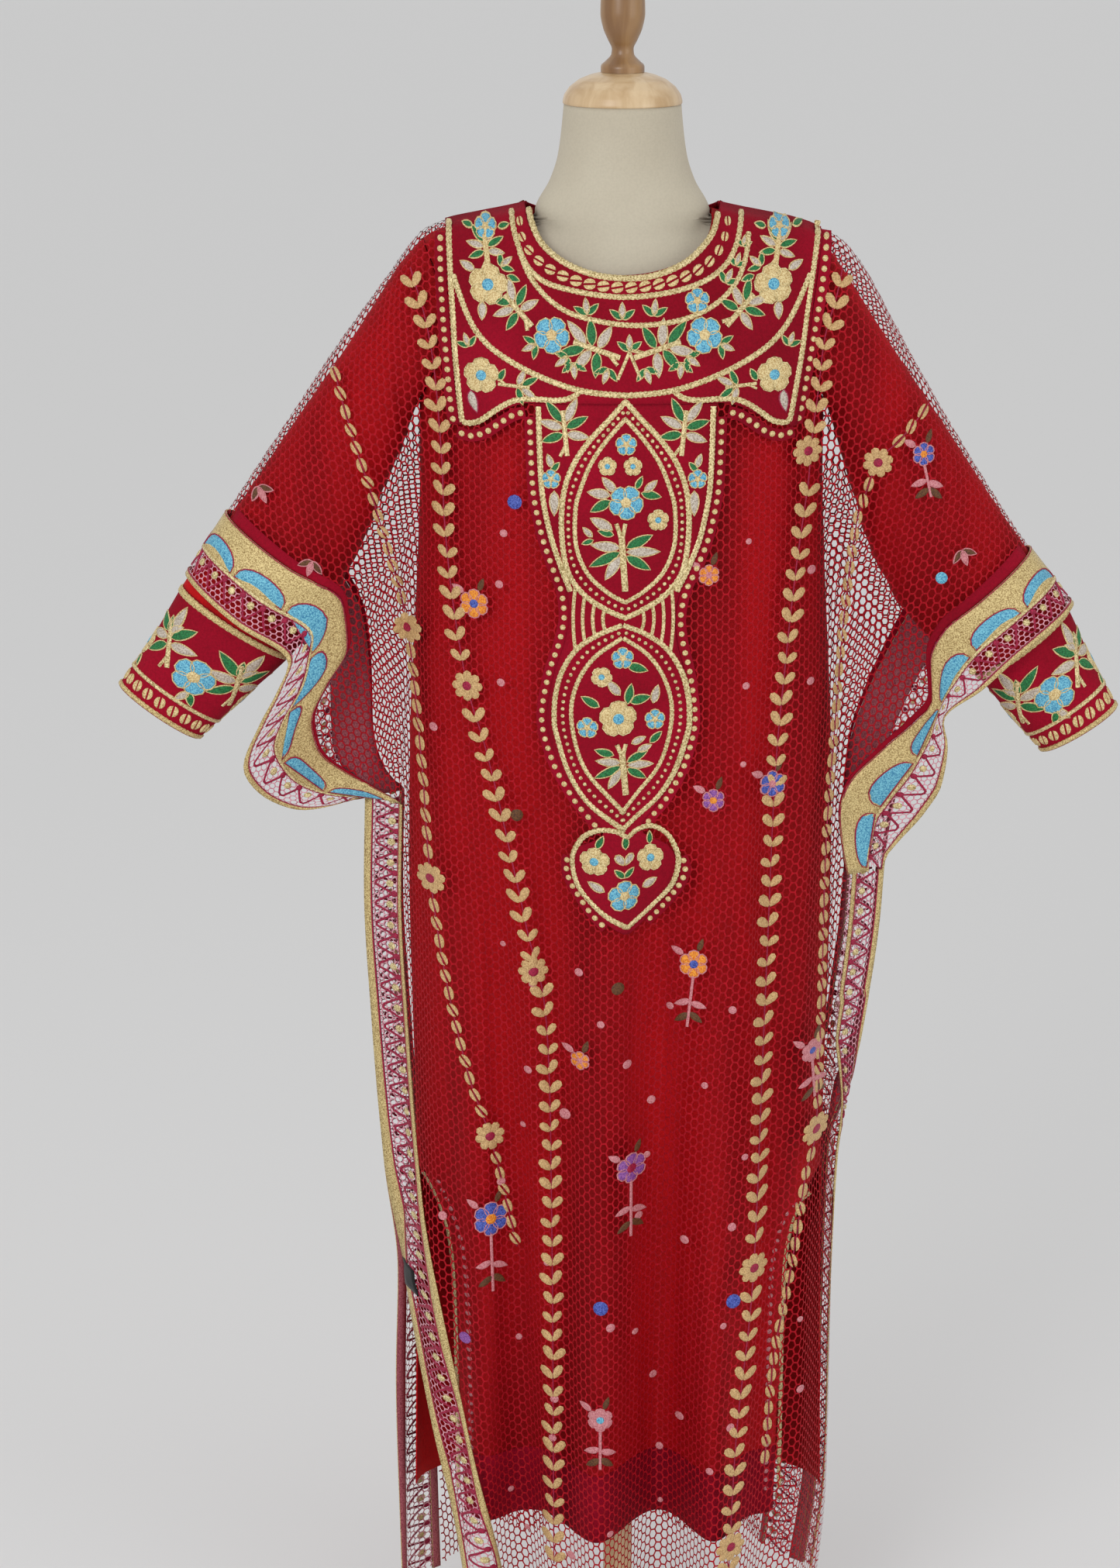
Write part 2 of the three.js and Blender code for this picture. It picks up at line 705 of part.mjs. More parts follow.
// Dress.
const armholeRows = steps(0, 1, 8).map((s) => (1 - Math.cos(Math.PI * s)) / 2);
const chestRows = armholeRows.slice(1).map((w) => lerp(DRESS_UP, 1, w));
const dressLevels = [...steps(0, DRESS_UP, 9), ...chestRows];
add("dress_front", wall(dressPoint(FRONT), steps(-1, 1, 32), dressLevels, DRESS_CLOTH, FRONT), "red");
// The back is cut in two and joined by a seam below the waist.
const BACK_SEAM = (DRESS_UP * 4) / 7;
const SEAM_ROOM = 0.00013;
const skirtLevels = steps(0, BACK_SEAM - SEAM_ROOM, 4);
const backLevels = [...steps(BACK_SEAM + SEAM_ROOM, DRESS_UP, 3), ...chestRows];
add("dress_back", wall(dressPoint(BACK), steps(-1, 1, 22), backLevels, DRESS_CLOTH, BACK), "red");
add("dress_back_skirt", wall(dressPoint(BACK), steps(-1, 1, 22), skirtLevels, DRESS_CLOTH, BACK), "red");

// A sleeve begins as the armhole's own oval and runs to the wrist.
function sleeveRing(side) {
  return (t, k) => {
    const angle = t * 2 * Math.PI;
    const w = (1 + Math.cos(angle)) / 2;
    const face = Math.sin(angle) > 0 ? BACK : FRONT;
    const row = sleeve[side];
    const first = armhole(w);
    const rootDepth = dressDepth(first[0], first[1], face);
    const root = new THREE.Vector3(side * (first[0] + 3 * SEAM), face * rootDepth, first[1]);
    const later = Math.max(k, 1);
    const ring = new THREE.Vector3(
      side * lerp(row.lowX(later), row.topX(later), w),
      Math.sin(angle) * row.depth(later),
      lerp(row.lowZ(later), row.topZ(later), w),
    );
    return k < 1 ? root.lerp(ring, k) : ring;
  };
}
const sideName = { [LEFT]: "left", [RIGHT]: "right" };
for (const side of [LEFT, RIGHT]) {
  const ring = sleeveRing(side);
  const seam = 0.005; // in rings, about half a millimetre along the arm
  add(`dress_sleeve_${sideName[side]}`, tube(ring, 16, [0, 0.5, 1, 2, 3, 4, CUFF_AT - seam], DRESS_CLOTH), "red");
  add(`dress_cuff_${sideName[side]}`, tube(ring, 16, [CUFF_AT, 6, 7], APPLIQUE), "maroon");
}

// Net and its borders.
const sleeveRows = [0, 0.12, 0.25, 0.38, 0.5, 0.61, 0.71, 0.8, 0.88, 0.94, 0.98, 1];
const netUpper = sleeveRows.slice(1).map((w) => lerp(NET_UP, 1, w));
const netLower = steps(0, NET_UP, 8);
const netLevels = [...netLower, ...netUpper];
// Columns of half a sheet: along the neckline, the shoulder and the arm.
const halfColumns = (neckline, shoulder, arm) =>
  [...steps(0, 0.225, neckline), ...steps(0.225, 0.5, shoulder).slice(1), ...steps(0.5, 1, arm).slice(1)];
const mirrored = (half) => [...half.slice(1).map((u) => -u).toReversed(), ...half];
const netColumns = mirrored(halfColumns(6, 7, 9));
add("net_front", wall(sheetPoint(FRONT), netColumns, netLevels, NET_CLOTH, FRONT, 2), "net");
const netBackLevels = [...netLower, ...netUpper];
const netBackColumns = mirrored(halfColumns(5, 4, 6));
add("net_back", wall(sheetPoint(BACK), netBackColumns, netBackLevels, NET_CLOTH, BACK, 2), "net");

// The borders, beside the net's edge: wide ones round the sleeves' openings, and narrow ones down the sides.
const bandColumns = { [FRONT]: [1.027, 1.5, 2], [BACK]: [1.01, 1.5, 2] };
const sleeveBandRows = sleeveRows.map((w) => lerp(NET_UP, 1, w));
const sideBandRows = [...netLower.slice(0, -1), NET_UP - 0.0006];
for (const side of [LEFT, RIGHT])
  for (const face of [FRONT, BACK]) {
    const name = `${facing(face)}_${sideName[side]}`;
    const columns = bandColumns[face].map((u) => u * side).sort((a, b) => a - b);
    const point = sheetPoint(face);
    add(`sleeve_band_${name}`, wall(point, columns, sleeveBandRows, APPLIQUE, face, 2), "gold");
    add(`side_band_${name}`, wall(point, columns, sideBandRows, APPLIQUE, face, 2), "gold");
  }

// A piece laid on a sheet: the sheet's own points, moved out, and cut along an outline of (x, z).
function laidOn(face, columns, levels, outline, thickness = APPLIQUE) {
  const point = sheetPoint(face);
  const outer = [];
  const inner = [];
  for (const v of levels)
    for (const u of columns) {
      const p = point(u, v);
      const n = normalAt(point, 2, face, u, v);
      inner.push(p.clone().addScaledVector(n, LAID_ON));
      outer.push(p.clone().addScaledVector(n, LAID_ON + thickness));
    }
  const shell = solidFrom(closed(outer, inner, columns.length, levels.length, face === BACK));
  const cut = shell.intersect(solidFrom(column(outline, face)));
  const mesh = cut.getMesh();
  const shape = new THREE.BufferGeometry();
  shape.setAttribute("position", new THREE.BufferAttribute(new Float32Array(mesh.vertProperties), 3));
  shape.setIndex([...mesh.triVerts]);
  shape.computeVertexNormals();
  return shape;
}

// An upright block of the outline's shape, in front of the axis or behind it.
function column(outline, face) {
  const shape = new THREE.Shape(outline.map(([x, z]) => new THREE.Vector2(x, z)));
  const block = new THREE.ExtrudeGeometry(shape, { depth: 600, bevelEnabled: false });
  block.rotateX(quarter).translate(0, face === FRONT ? 0 : 600, 0);
  block.deleteAttribute("normal");
  block.deleteAttribute("uv");
  return mergeVertices(block);
}

function solidFrom(shape) {
  const vertProperties = new Float32Array(shape.getAttribute("position").array);
  const triVerts = new Uint32Array(shape.index.array);
  return new solids.Manifold(new solids.Mesh({ numProp: 3, vertProperties, triVerts }));
}

// The long front panel hangs from the yoke. Half of its outline, from the tip of the heart upwards.
const panelRows = [829, 834, 845, 860, 877, 892, 907, 918, 924, 929, 938, 953, 975, 1000, 1025, 1045, 1075, 1105,
  1128, 1150, 1172, 1200, 1230, 1268, PANEL_TOP - SEAM];
const panelOutline = [
  ...panelRows.map((z) => [panelMiddle(z) + panelHalf(z), z]),
  ...panelRows.toReversed().map((z) => [panelMiddle(z) - panelHalf(z), z]),
];

// The yoke: a square bib over the shoulders with a scalloped lower edge on either side of the panel.
const yokeCorner = { [LEFT]: { top: 170, low: 156, z: 1318 }, [RIGHT]: { top: 192, low: 166, z: 1316 } };
const YOKE_BACK = 1392;
const YOKE_REACH = 1560; // above everything

function scallop(side) {
  const corner = yokeCorner[side];
  const meets = side * panelMiddle(PANEL_TOP) + panelHalf(PANEL_TOP);
  return steps(0, 1, 7).map((t) => {
    const x = lerp(meets, corner.low, t);
    return [side * x, lerp(PANEL_TOP, corner.z, smooth(0.05, 1, t))];
  });
}
const sides = (side, low) => [[side * yokeCorner[side].low, low], [side * yokeCorner[side].top, 1500],
  [side * yokeCorner[side].top, YOKE_REACH]];
const yokeFront = [
  ...scallop(RIGHT),
  ...sides(RIGHT, yokeCorner[RIGHT].z).slice(1),
  ...sides(LEFT, yokeCorner[LEFT].z).slice(1).toReversed(),
  ...scallop(LEFT).toReversed(),
];
const yokeBack = [...sides(RIGHT, YOKE_BACK), ...sides(LEFT, YOKE_BACK).toReversed()];

add("yoke_front", laidOn(FRONT, netColumns, netLevels, yokeFront), "maroon");
add("yoke_back", laidOn(BACK, netBackColumns, netBackLevels, yokeBack), "maroon");
add("centre_panel", laidOn(FRONT, netColumns, netLevels, panelOutline), "maroon");

// A plain woven tab on the left border's outer edge, where the slit begins.
const TAB = { inner: -206, outer: -222, low: 420, thick: 0.8 };
const tabOutline = [[TAB.outer, TAB.low], [TAB.inner, TAB.low], [TAB.inner, TAB_TOP], [TAB.outer, TAB_TOP]];
const leftBorder = bandColumns[FRONT].map((u) => -u).toReversed();
add("label_tab", laidOn(FRONT, leftBorder, sideBandRows, tabOutline, TAB.thick), "black");

// The origin is below the middle of the whole, on the floor.
const whole = new THREE.Box3().setFromObject(part);
const middle = whole.getCenter(new THREE.Vector3());
for (const node of part.children) node.geometry.translate(-middle.x, -middle.y, -whole.min.z);

export default part;
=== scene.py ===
# %% [markdown]
# # A net over-thobe on a dress form
# This lesson dresses the part in Blender. The solids from the part's source give every piece its size and
# place, and each cell below makes one piece of the garment or one finish.
# Work in millimetres, as a dressmaker does, and turn them into Blender's metres at the very end.

import bpy
import numpy as np
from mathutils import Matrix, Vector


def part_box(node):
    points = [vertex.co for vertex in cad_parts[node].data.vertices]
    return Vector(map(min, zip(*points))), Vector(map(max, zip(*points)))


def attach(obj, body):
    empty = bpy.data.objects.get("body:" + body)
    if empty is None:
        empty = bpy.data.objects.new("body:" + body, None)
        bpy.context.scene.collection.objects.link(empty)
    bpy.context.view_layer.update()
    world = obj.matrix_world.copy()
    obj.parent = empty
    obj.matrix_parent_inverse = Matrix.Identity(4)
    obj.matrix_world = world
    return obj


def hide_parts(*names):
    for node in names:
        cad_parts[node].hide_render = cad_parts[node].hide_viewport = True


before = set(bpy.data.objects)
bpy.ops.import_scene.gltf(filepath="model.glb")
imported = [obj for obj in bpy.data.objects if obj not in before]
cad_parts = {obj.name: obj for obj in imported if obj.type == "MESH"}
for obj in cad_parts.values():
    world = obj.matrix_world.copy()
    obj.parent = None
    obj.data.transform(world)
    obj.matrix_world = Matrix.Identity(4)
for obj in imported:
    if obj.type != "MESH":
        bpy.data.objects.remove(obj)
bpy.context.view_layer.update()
pole_low, pole_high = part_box("stand_pole")
pole_foot = [(pole_low[i] + pole_high[i]) / 2 for i in (0, 1)]
print("nodes:", len(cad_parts), "pole at", [round(v, 4) for v in pole_foot])

# %% [markdown]
# The camera comes first, so that every look at the work is from the same place. A long lens from four metres
# away keeps the garment's width true. It looks down a little, so the hem shows as a curve.

# %% Camera
def to_metres(points):
    points = np.asarray(points, float) / 1000
    return points + np.array([pole_foot[0], pole_foot[1], 0.0])


camera = bpy.data.objects.new("camera", bpy.data.cameras.new("camera"))
bpy.context.collection.objects.link(camera)
camera.data.lens = 99.65
camera.data.sensor_width = 36
camera.data.clip_end = 200
camera.location = to_metres([-60, -4200, 1989])
camera.rotation_euler = (np.radians(76), 0, 0)
bpy.context.scene.camera = camera
print("camera at", [round(v, 3) for v in camera.location])

# %% [markdown]
# Cloth is described here by tables: a few levels, and the size at each. A smooth curve that never overshoots
# its own numbers joins them, so a sleeve or a hem has no bumps that nobody asked for.

# %% Curves through a table
LEFT, RIGHT, FRONT, BACK = -1, 1, -1, 1
HANDS, FACES = ((LEFT, "left"), (RIGHT, "right")), ((FRONT, "front"), (BACK, "back"))


def mix(a, b, t):
    return a + (b - a) * t


def smooth(low, high, t):
    """Rises softly from 0 at low to 1 at high."""
    low, high = np.asarray(low, float), np.asarray(high, float)
    s = np.clip((np.asarray(t, float) - low) / np.where(high == low, 1, high - low), 0, 1)
    return s * s * (3 - 2 * s)


def curve(at, value):
    at, value = np.array(at, float), np.array(value, float)
    step = np.diff(at)
    slope = np.diff(value) / step
    lean = np.empty_like(value)
    lean[0], lean[-1] = slope[0], slope[-1]
    for i in range(1, len(at) - 1):
        before, after = slope[i - 1], slope[i]
        a, b = 2 * step[i] + step[i - 1], step[i] + 2 * step[i - 1]
        lean[i] = 0 if before * after <= 0 else (a + b) / (a / before + b / after)

    def read(x):
        x = np.asarray(x, float)
        i = np.clip(np.searchsorted(at, x, side="left") - 1, 0, len(step) - 1)
        t = np.clip((x - at[i]) / step[i], 0, 1)
        rise = t * t * (3 - 2 * t)
        bend = t * (1 - t) ** 2 * lean[i] - t * t * (1 - t) * lean[i + 1]
        return mix(value[i], value[i + 1], rise) + step[i] * bend

    return read


def table(names, rows):
    columns = list(zip(*rows))
    return {name: curve(columns[0], column) for name, column in zip(names.split(), columns[1:])}


def run_along(points):
    """How far each point is along a line of points, from 0."""
    return np.concatenate([[0], np.cumsum(np.linalg.norm(np.diff(points, axis=0), axis=-1))])


def line(points):
    points = np.array(points, float)
    run = run_along(points)
    x, z = curve(run / run[-1], points[:, 0]), curve(run / run[-1], points[:, 1])
    return lambda t: np.stack([x(t), z(t)], -1)


print("a curve through 0, 1 and 4 is at", round(float(curve([0, 1, 2], [0, 1, 4])(1.5)), 2), "in its second half")

# %% [markdown]
# The form and the two garments, level by level: half the width, and the depth in front of and behind the axis.
# These are the same sizes as in the part's source, so each dressed piece lies on its own solid.

# %% Tables of the form and the dress
DRESS_HEM, SLIT_TOP, FOLDS_BEGIN, ARMHOLE_LOW, SHOULDER_TIP, NECK_POINT = 193, 545, 1150, 1331, 1486, 1515
NECK_DROP = {FRONT: 60, BACK: 22}
DRESS_THICK, DRESS_GAP = 1.5, 0.15
shoulder_line = curve([87, 110, 136, 160, 178, 192], [1515, 1510, 1505, 1500, 1494, 1486])
trunk = table("side front back", [
    (800, 150, 92, 94), (815, 158, 98, 100), (900, 166, 104, 104), (980, 160, 104, 98), (1060, 142, 98, 88),
    (1140, 128, 94, 80), (1200, 140, 106, 84), (1270, 156, 114, 90), (1340, 168, 103, 92), (1400, 178, 88, 89),
    (1450, 185, 70, 80), (1474, 184, 57, 71), (1486, 178, 48, 66), (1492, 168, 41, 58), (1497, 150, 33, 50),
    (1502, 120, 24, 40), (1507, 92, 12, 24), (1512, 60, 4, 8)])
neck = table("side front back", [
    (1430, 84, 60, 62), (1490, 84.5, 63, 64), (1505, 84.4, 63, 64), (1515, 84.2, 62.5, 63.5), (1521, 82, 62, 63),
    (1542, 70, 61, 61), (1567, 62, 59, 59), (1603, 57.5, 57, 57), (1615, 56.5, 56.5, 56.5)])
dress = table("side front back", [
    (193, 210, 85, 104), (545, 206, 104, 106), (850, 211, 120, 106), (1000, 209, 124, 104), (1100, 204, 126, 100),
    (1200, 199, 128, 98), (1270, 197, 127, 99), (1331, 197, 116, 101), (1400, 199, 100, 98), (1450, 200, 81, 90),
    (1474, 198, 67, 81), (1486, 192, 58, 75), (1494, 178, 51, 70), (1500, 160, 44, 65), (1505, 136, 37, 59),
    (1510, 110, 29, 51), (1515, 87, 21, 38)])
slit = table("edge forward", [
    (193, 158, 66), (300, 161, 60), (400, 166, 50), (475, 173, 34), (520, 189, 12), (545, 206, 0)])
dress_folds = {
    FRONT: [(-0.71, 0.12, 45), (-0.42, 0.13, -16), (-0.11, 0.15, 66), (0.19, 0.12, -20), (0.45, 0.13, 66),
            (0.8, 0.1, 26)],
    BACK: [(-0.6, 0.14, 34), (-0.22, 0.14, 40), (0.16, 0.13, 34), (0.55, 0.15, 40)]}
print("dress length", NECK_POINT - DRESS_HEM, "mm, half width at the hem", float(dress["side"](DRESS_HEM)))

# %% [markdown]
# The net has its own folds, and its edge isn't the same on both sides: the garment hangs a little askew. The
# sleeves are so wide that they open at the side of the body, so each opening is drawn as two lines, the inner and
# the outer edge of its border.

# %% Tables of the net
net_folds = {
    FRONT: [(-112, -70, 17, 24), (-175, -188, 20, 20), (-20, 8, 22, 12), (118, 128, 17, 24), (60, 62, 18, 11),
            (178, 186, 18, 20)],
    BACK: [(-120, -130, 26, 22), (-40, -46, 26, 22), (44, 40, 26, 22), (126, 132, 26, 22)]}
net_edge = {
    LEFT: table("front back", [
        (60, 148, 224), (143, 158, 226), (300, 191, 229), (430, 218, 226), (544, 238, 239), (700, 250, 250),
        (831, 256, 256), (929, 254, 254)]),
    RIGHT: table("front back", [
        (60, 199, 199), (205, 214, 214), (430, 217, 217), (556, 222, 222), (620, 232, 232), (687, 245, 245),
        (807, 261, 261), (855, 264, 264)])}
net_low = {LEFT: 929, RIGHT: 855}
net_top = {
    LEFT: curve([90, 113, 139, 163, 181, 195, 205, 226, 273, 330, 387, 428],
                [1519, 1513.5, 1508.5, 1503.5, 1498, 1492, 1481, 1452, 1388, 1303, 1218, 1156]),
    RIGHT: curve([90, 113, 139, 163, 181, 195, 210, 233, 270, 309, 402, 446],
                 [1519, 1513.5, 1508.5, 1503.5, 1499, 1494, 1487, 1461, 1395, 1327, 1182, 1126])}
net_opening = {
    (LEFT, FRONT): (
        line([(216, 929), (258, 946), (300, 982), (305, 1012), (290, 1050), (268, 1092), (272, 1136), (326, 1174),
              (387, 1218)]),
        line([(254, 929), (315, 916), (353, 932), (373, 966), (356, 1012), (338, 1046), (326, 1076), (376, 1115),
              (428, 1156)])),
    (LEFT, BACK): (
        line([(216, 929), (238, 960), (248, 1000), (250, 1050), (256, 1100), (282, 1148), (330, 1180),
              (387, 1218)]),
        line([(254, 929), (292, 938), (316, 968), (318, 1012), (312, 1060), (332, 1092), (378, 1120),
              (428, 1156)])),
    (RIGHT, FRONT): (
        line([(226, 855), (219, 890), (216, 920), (221, 940), (259, 982), (290, 1012), (306, 1036), (303, 1080),
              (314, 1109), (343, 1134), (402, 1182)]),
        line([(264, 855), (266, 866), (277, 882), (303, 915), (319, 948), (323, 988), (318, 1014), (355, 1051),
              (394, 1088), (446, 1126)])),
    (RIGHT, BACK): (
        line([(226, 855), (225, 920), (230, 980), (246, 1030), (270, 1076), (300, 1118), (346, 1144),
              (402, 1182)]),
        line([(264, 855), (269, 890), (280, 940), (300, 986), (322, 1026), (350, 1062), (394, 1094),
              (446, 1126)]))}
print("net sleeve tips at", 428, "and", 446, "mm from the middle")

# %% [markdown]
# Each layer is a depth at a place (x, z), seen from straight ahead. The form is two ovals run into each other,
# the dress is a wider oval with long folds, and the net is the dress, the arms and its own folds, all rounded
# into one surface. One function for a layer means that whatever is sewn on it can find it.

# %% Depth of the form and the dress
def oval(share):
    return np.sqrt(np.maximum(0, 1 - np.asarray(share, float) ** 2))


def rounded_max(*depths):
    return sum(np.maximum(d, 0) ** 6 for d in depths) ** (1 / 6)


def side_word(face):
    return dict(FACES)[face]


def form_depth(x, z, face):
    word = side_word(face)
    body = trunk[word](z) * oval(x / trunk["side"](z))
    return rounded_max(body, neck[word](z) * oval(x / neck["side"](z)))


def fold_depth(x, z, face):
    grown = np.clip((FOLDS_BEGIN - z) / (FOLDS_BEGIN - DRESS_HEM), 0, 1.1) ** 1.25
    share = x / dress["side"](z)
    return grown * sum(high * np.exp(-(((share - at) / wide) ** 2)) for at, wide, high in dress_folds[face])


def dress_edge(z, face):
    side = dress["side"](z)
    return np.where(z < SLIT_TOP, slit["edge"](z), side) if face == FRONT else side


def creases(x, z, folds):
    """Soft ridges and troughs, each from (x, z) down to (x, z), with its half width and height."""
    total = np.zeros(np.broadcast(x, z).shape)
    for x_top, z_top, x_low, z_low, half, high in folds:
        t = (z_top - z) / (z_top - z_low)
        fade = smooth(0, 0.25, t) * smooth(1, 0.75, t)
        total = total + high * fade * np.exp(-(((x - mix(x_top, x_low, np.clip(t, 0, 1))) / half) ** 2))
    return total


dress_creases = {
    FRONT: [(-150, 1010, -120, 260, 7, 2.4), (-96, 960, -60, 230, 6, -2.2), (-30, 1000, -48, 300, 8, 2.4),
            (24, 900, 20, 210, 6, 2.2), (66, 980, 52, 240, 6, -2.4), (112, 1010, 104, 330, 8, 2.2),
            (150, 930, 138, 220, 6, -2), (-185, 1150, -172, 700, 7, 1.6), (178, 1180, 168, 760, 7, 1.8)],
    BACK: [(-140, 1080, -150, 260, 9, 2.4), (-70, 1000, -84, 240, 7, -2.2), (-8, 1040, -16, 300, 9, 2.2),
           (60, 980, 64, 230, 7, 2.4), (120, 1060, 132, 280, 8, -2.2)]}


def dress_depth(x, z, face):
    """An oval with folds; beside a slit the front panel hangs forward of the middle, so its oval starts there."""
    edge = dress_edge(z, face)
    forward = slit["forward"](z) if face == FRONT else 0 * z
    reach = np.abs(x) / edge
    depth = dress[side_word(face)](z)
    flat = np.where(forward > 0, forward, 0)
    fading = np.exp(-((np.maximum(0, np.abs(x) - edge) / 26) ** 2))
    folds = fold_depth(x, z, face) + creases(x, z, dress_creases[face])
    return fading * (flat + (depth - flat) * oval(np.minimum(reach, 1))) + folds * np.clip(4 * (1 - reach), 0, 1)


# %% [markdown]
# A net could be cut loose and left to fall by simulation, but this many threads take too long to settle. Giving
# it the dress's depth, an arm's depth and a fin at the side, and rounding the three into one, hangs it at once.

# %% Depth of the net
net_creases = {
    FRONT: [(-146, 1200, -128, 420, 6, 3.4), (-96, 1080, -96, 300, 5, -2.8), (-40, 850, -42, 150, 6, 3),
            (-2, 820, 26, 140, 5, 2.6), (44, 860, 34, 150, 5, -2.6), (88, 1240, 92, 560, 6, 3.2),
            (112, 1100, 150, 180, 5, 2.8), (148, 1280, 158, 640, 6, 3.4), (166, 900, 172, 200, 5, -2.4),
            (-214, 1330, -226, 1010, 7, 4), (-250, 1320, -262, 1040, 6, 3.4), (-300, 1270, -288, 1110, 6, 3),
            (218, 1340, 228, 1000, 7, 4), (262, 1350, 282, 1060, 6, 4), (296, 1290, 330, 1120, 5, 3.4),
            (-226, 900, -212, 300, 6, 3), (222, 860, 196, 420, 6, 3)],
    BACK: [(-160, 1280, -176, 300, 7, 3.4), (-84, 1200, -92, 260, 6, -2.6), (-4, 1300, 4, 260, 7, 3),
           (82, 1220, 92, 300, 6, 3), (166, 1300, 178, 300, 7, 3.2), (-230, 1330, -220, 1040, 7, 4),
           (240, 1330, 236, 1040, 7, 4), (-290, 1270, -262, 1120, 6, 3), (300, 1260, 276, 1100, 6, 3)]}


def arm_depth(x, z, side):
    below = np.maximum(0, net_top[side](x) - z) * 0.557
    over = mix(64, 52, smooth(220, 420, x)) * oval(1 - np.minimum(below, 70) / 70)
    hanging = mix(1, 0.3 * smooth(net_low[side] + 5, net_low[side] + 120, z), smooth(85, 240, below))
    return over * hanging * smooth(120, 205, x)


def body_under_net(x, z, face, clear, width):
    out = np.abs(x)
    full = dress[side_word(face)](z) + clear
    bulge = oval(np.minimum(out / (dress["side"](z) + clear), 1))
    folds = fold_depth(x, z, face) * np.clip(4 * (1 - out / (dress_edge(z, face) + clear)), 0, 1)
    forward = slit["forward"](z) if face == FRONT else 0 * z
    closing = np.where(x > 0, 1, smooth(250, 444, z))
    flat = (forward + clear * smooth(0, 20, forward)) * (1 - closing * smooth(slit["edge"](z), width, out))
    return flat + (full - flat) * bulge + folds


def net_depth_side(x, z, face, side):
    out = np.abs(x)
    clear = mix(11, 5, smooth(1330, 1490, z))
    width = net_edge[side][side_word(face)](z)
    body = body_under_net(x, z - 5 * smooth(1300, 1500, z), face, clear, width)
    fin = 96 * oval(np.minimum(out / width, 1)) ** 2.2 * (1 - smooth(1150, 1400, z))
    drop = smooth(1300, 193, z)
    waves = sum(high * np.exp(-(((x - mix(top, low, drop)) / half) ** 2)) for top, low, half, high in net_folds[face])
    still = 1 - smooth(width - 40, width, out)
    fine = creases(x, z, net_creases[face]) * np.clip((net_top[side](out) - z) / 60, 0, 1)
    still_arm = np.where(z > net_low[side], 1, still)
    return rounded_max(body, arm_depth(out, z, side), fin) + smooth(1330, 700, z) * waves * still + fine * still_arm


def net_depth(x, z, face):
    x, z = np.broadcast_arrays(np.asarray(x, float), np.asarray(z, float))
    return np.where(x < 0, net_depth_side(x, z, face, LEFT), net_depth_side(x, z, face, RIGHT))


print("net stands", round(float(net_depth(0, 1000, FRONT) - dress_depth(0.0, 1000.0, FRONT)), 1), "mm off the dress")

# %% [markdown]
# The net and its borders are one wide sheet. U runs from the middle (0) to the net's edge (1 or -1), then
# across the border to 2 or -2, and v runs from the hem up to the shoulder and out along the arm.
# Knowing where each thread of that sheet lies lets the border follow the net with no gap.

# %% Places on the net's sheet
NET_UP = 0.56
SIDE_WIDE, SLEEVE_WIDE = 38, 70
MIDDLE = (net_low[LEFT] + net_low[RIGHT]) / 2
HEM_MIDDLE = {FRONT: 128, BACK: 84}
HEM_CORNER = {(LEFT, FRONT): 96, (LEFT, BACK): 72, (RIGHT, FRONT): 80, (RIGHT, BACK): 80}


def patch(low, high, inner, outer):
    """Fills the room between four edges evenly."""
    corners = [low(np.array(0.0)), low(np.array(1.0)), high(np.array(0.0)), high(np.array(1.0))]

    def read(u, w):
        u1, w1 = u[..., None], w[..., None]
        plain = mix(mix(corners[0], corners[1], u1), mix(corners[2], corners[3], u1), w1)
        return mix(low(u), high(u), w1) + mix(inner(w), outer(w), u1) - plain

    return read


def neck_and_shoulder(drop, tip, lift):
    """The upper edge of a layer: half the neckline, then along the shoulder seam to its tip."""
    share = 0.45

    def read(u):
        angle = np.pi / 2 * (1 - np.minimum(u, share) / share)
        half = 87 + 1.4 * lift
        x_out = mix(half, tip, np.maximum(0, u - share) / (1 - share))
        round_neck = np.stack([half * np.cos(angle), NECK_POINT + lift - drop * np.sin(angle)], -1)
        seam = np.stack([x_out, shoulder_line(x_out - lift) + lift], -1)
        return np.where((u < share)[..., None], round_neck, seam)

    return read


def net_top_line(side, drop):
    body = neck_and_shoulder(drop, 195, 5)
    reach = float(net_opening[side, FRONT][0](np.array(1.0))[0])

    def read(u):
        x = mix(195, reach, np.maximum(0, u - 0.5) / 0.5)
        arm = np.stack([x, net_top[side](x)], -1)
        return np.where((u < 0.5)[..., None], body(np.minimum(u, 0.5) / 0.5), arm)

    return read


net_patch = {}
for side in (LEFT, RIGHT):
    for face in (FRONT, BACK):
        drop = NECK_DROP[face]
        inner_edge = net_opening[side, face][0]
        first = inner_edge(np.array(0.0))
        net_patch[side, face] = patch(
            lambda u, f=first: np.stack([f[0] * np.sin(u * np.pi / 2), mix(MIDDLE, f[1], u)], -1),
            net_top_line(side, drop),
            lambda w, d=drop: np.stack([0 * w, mix(MIDDLE, 1520 - d, w)], -1),
            inner_edge)


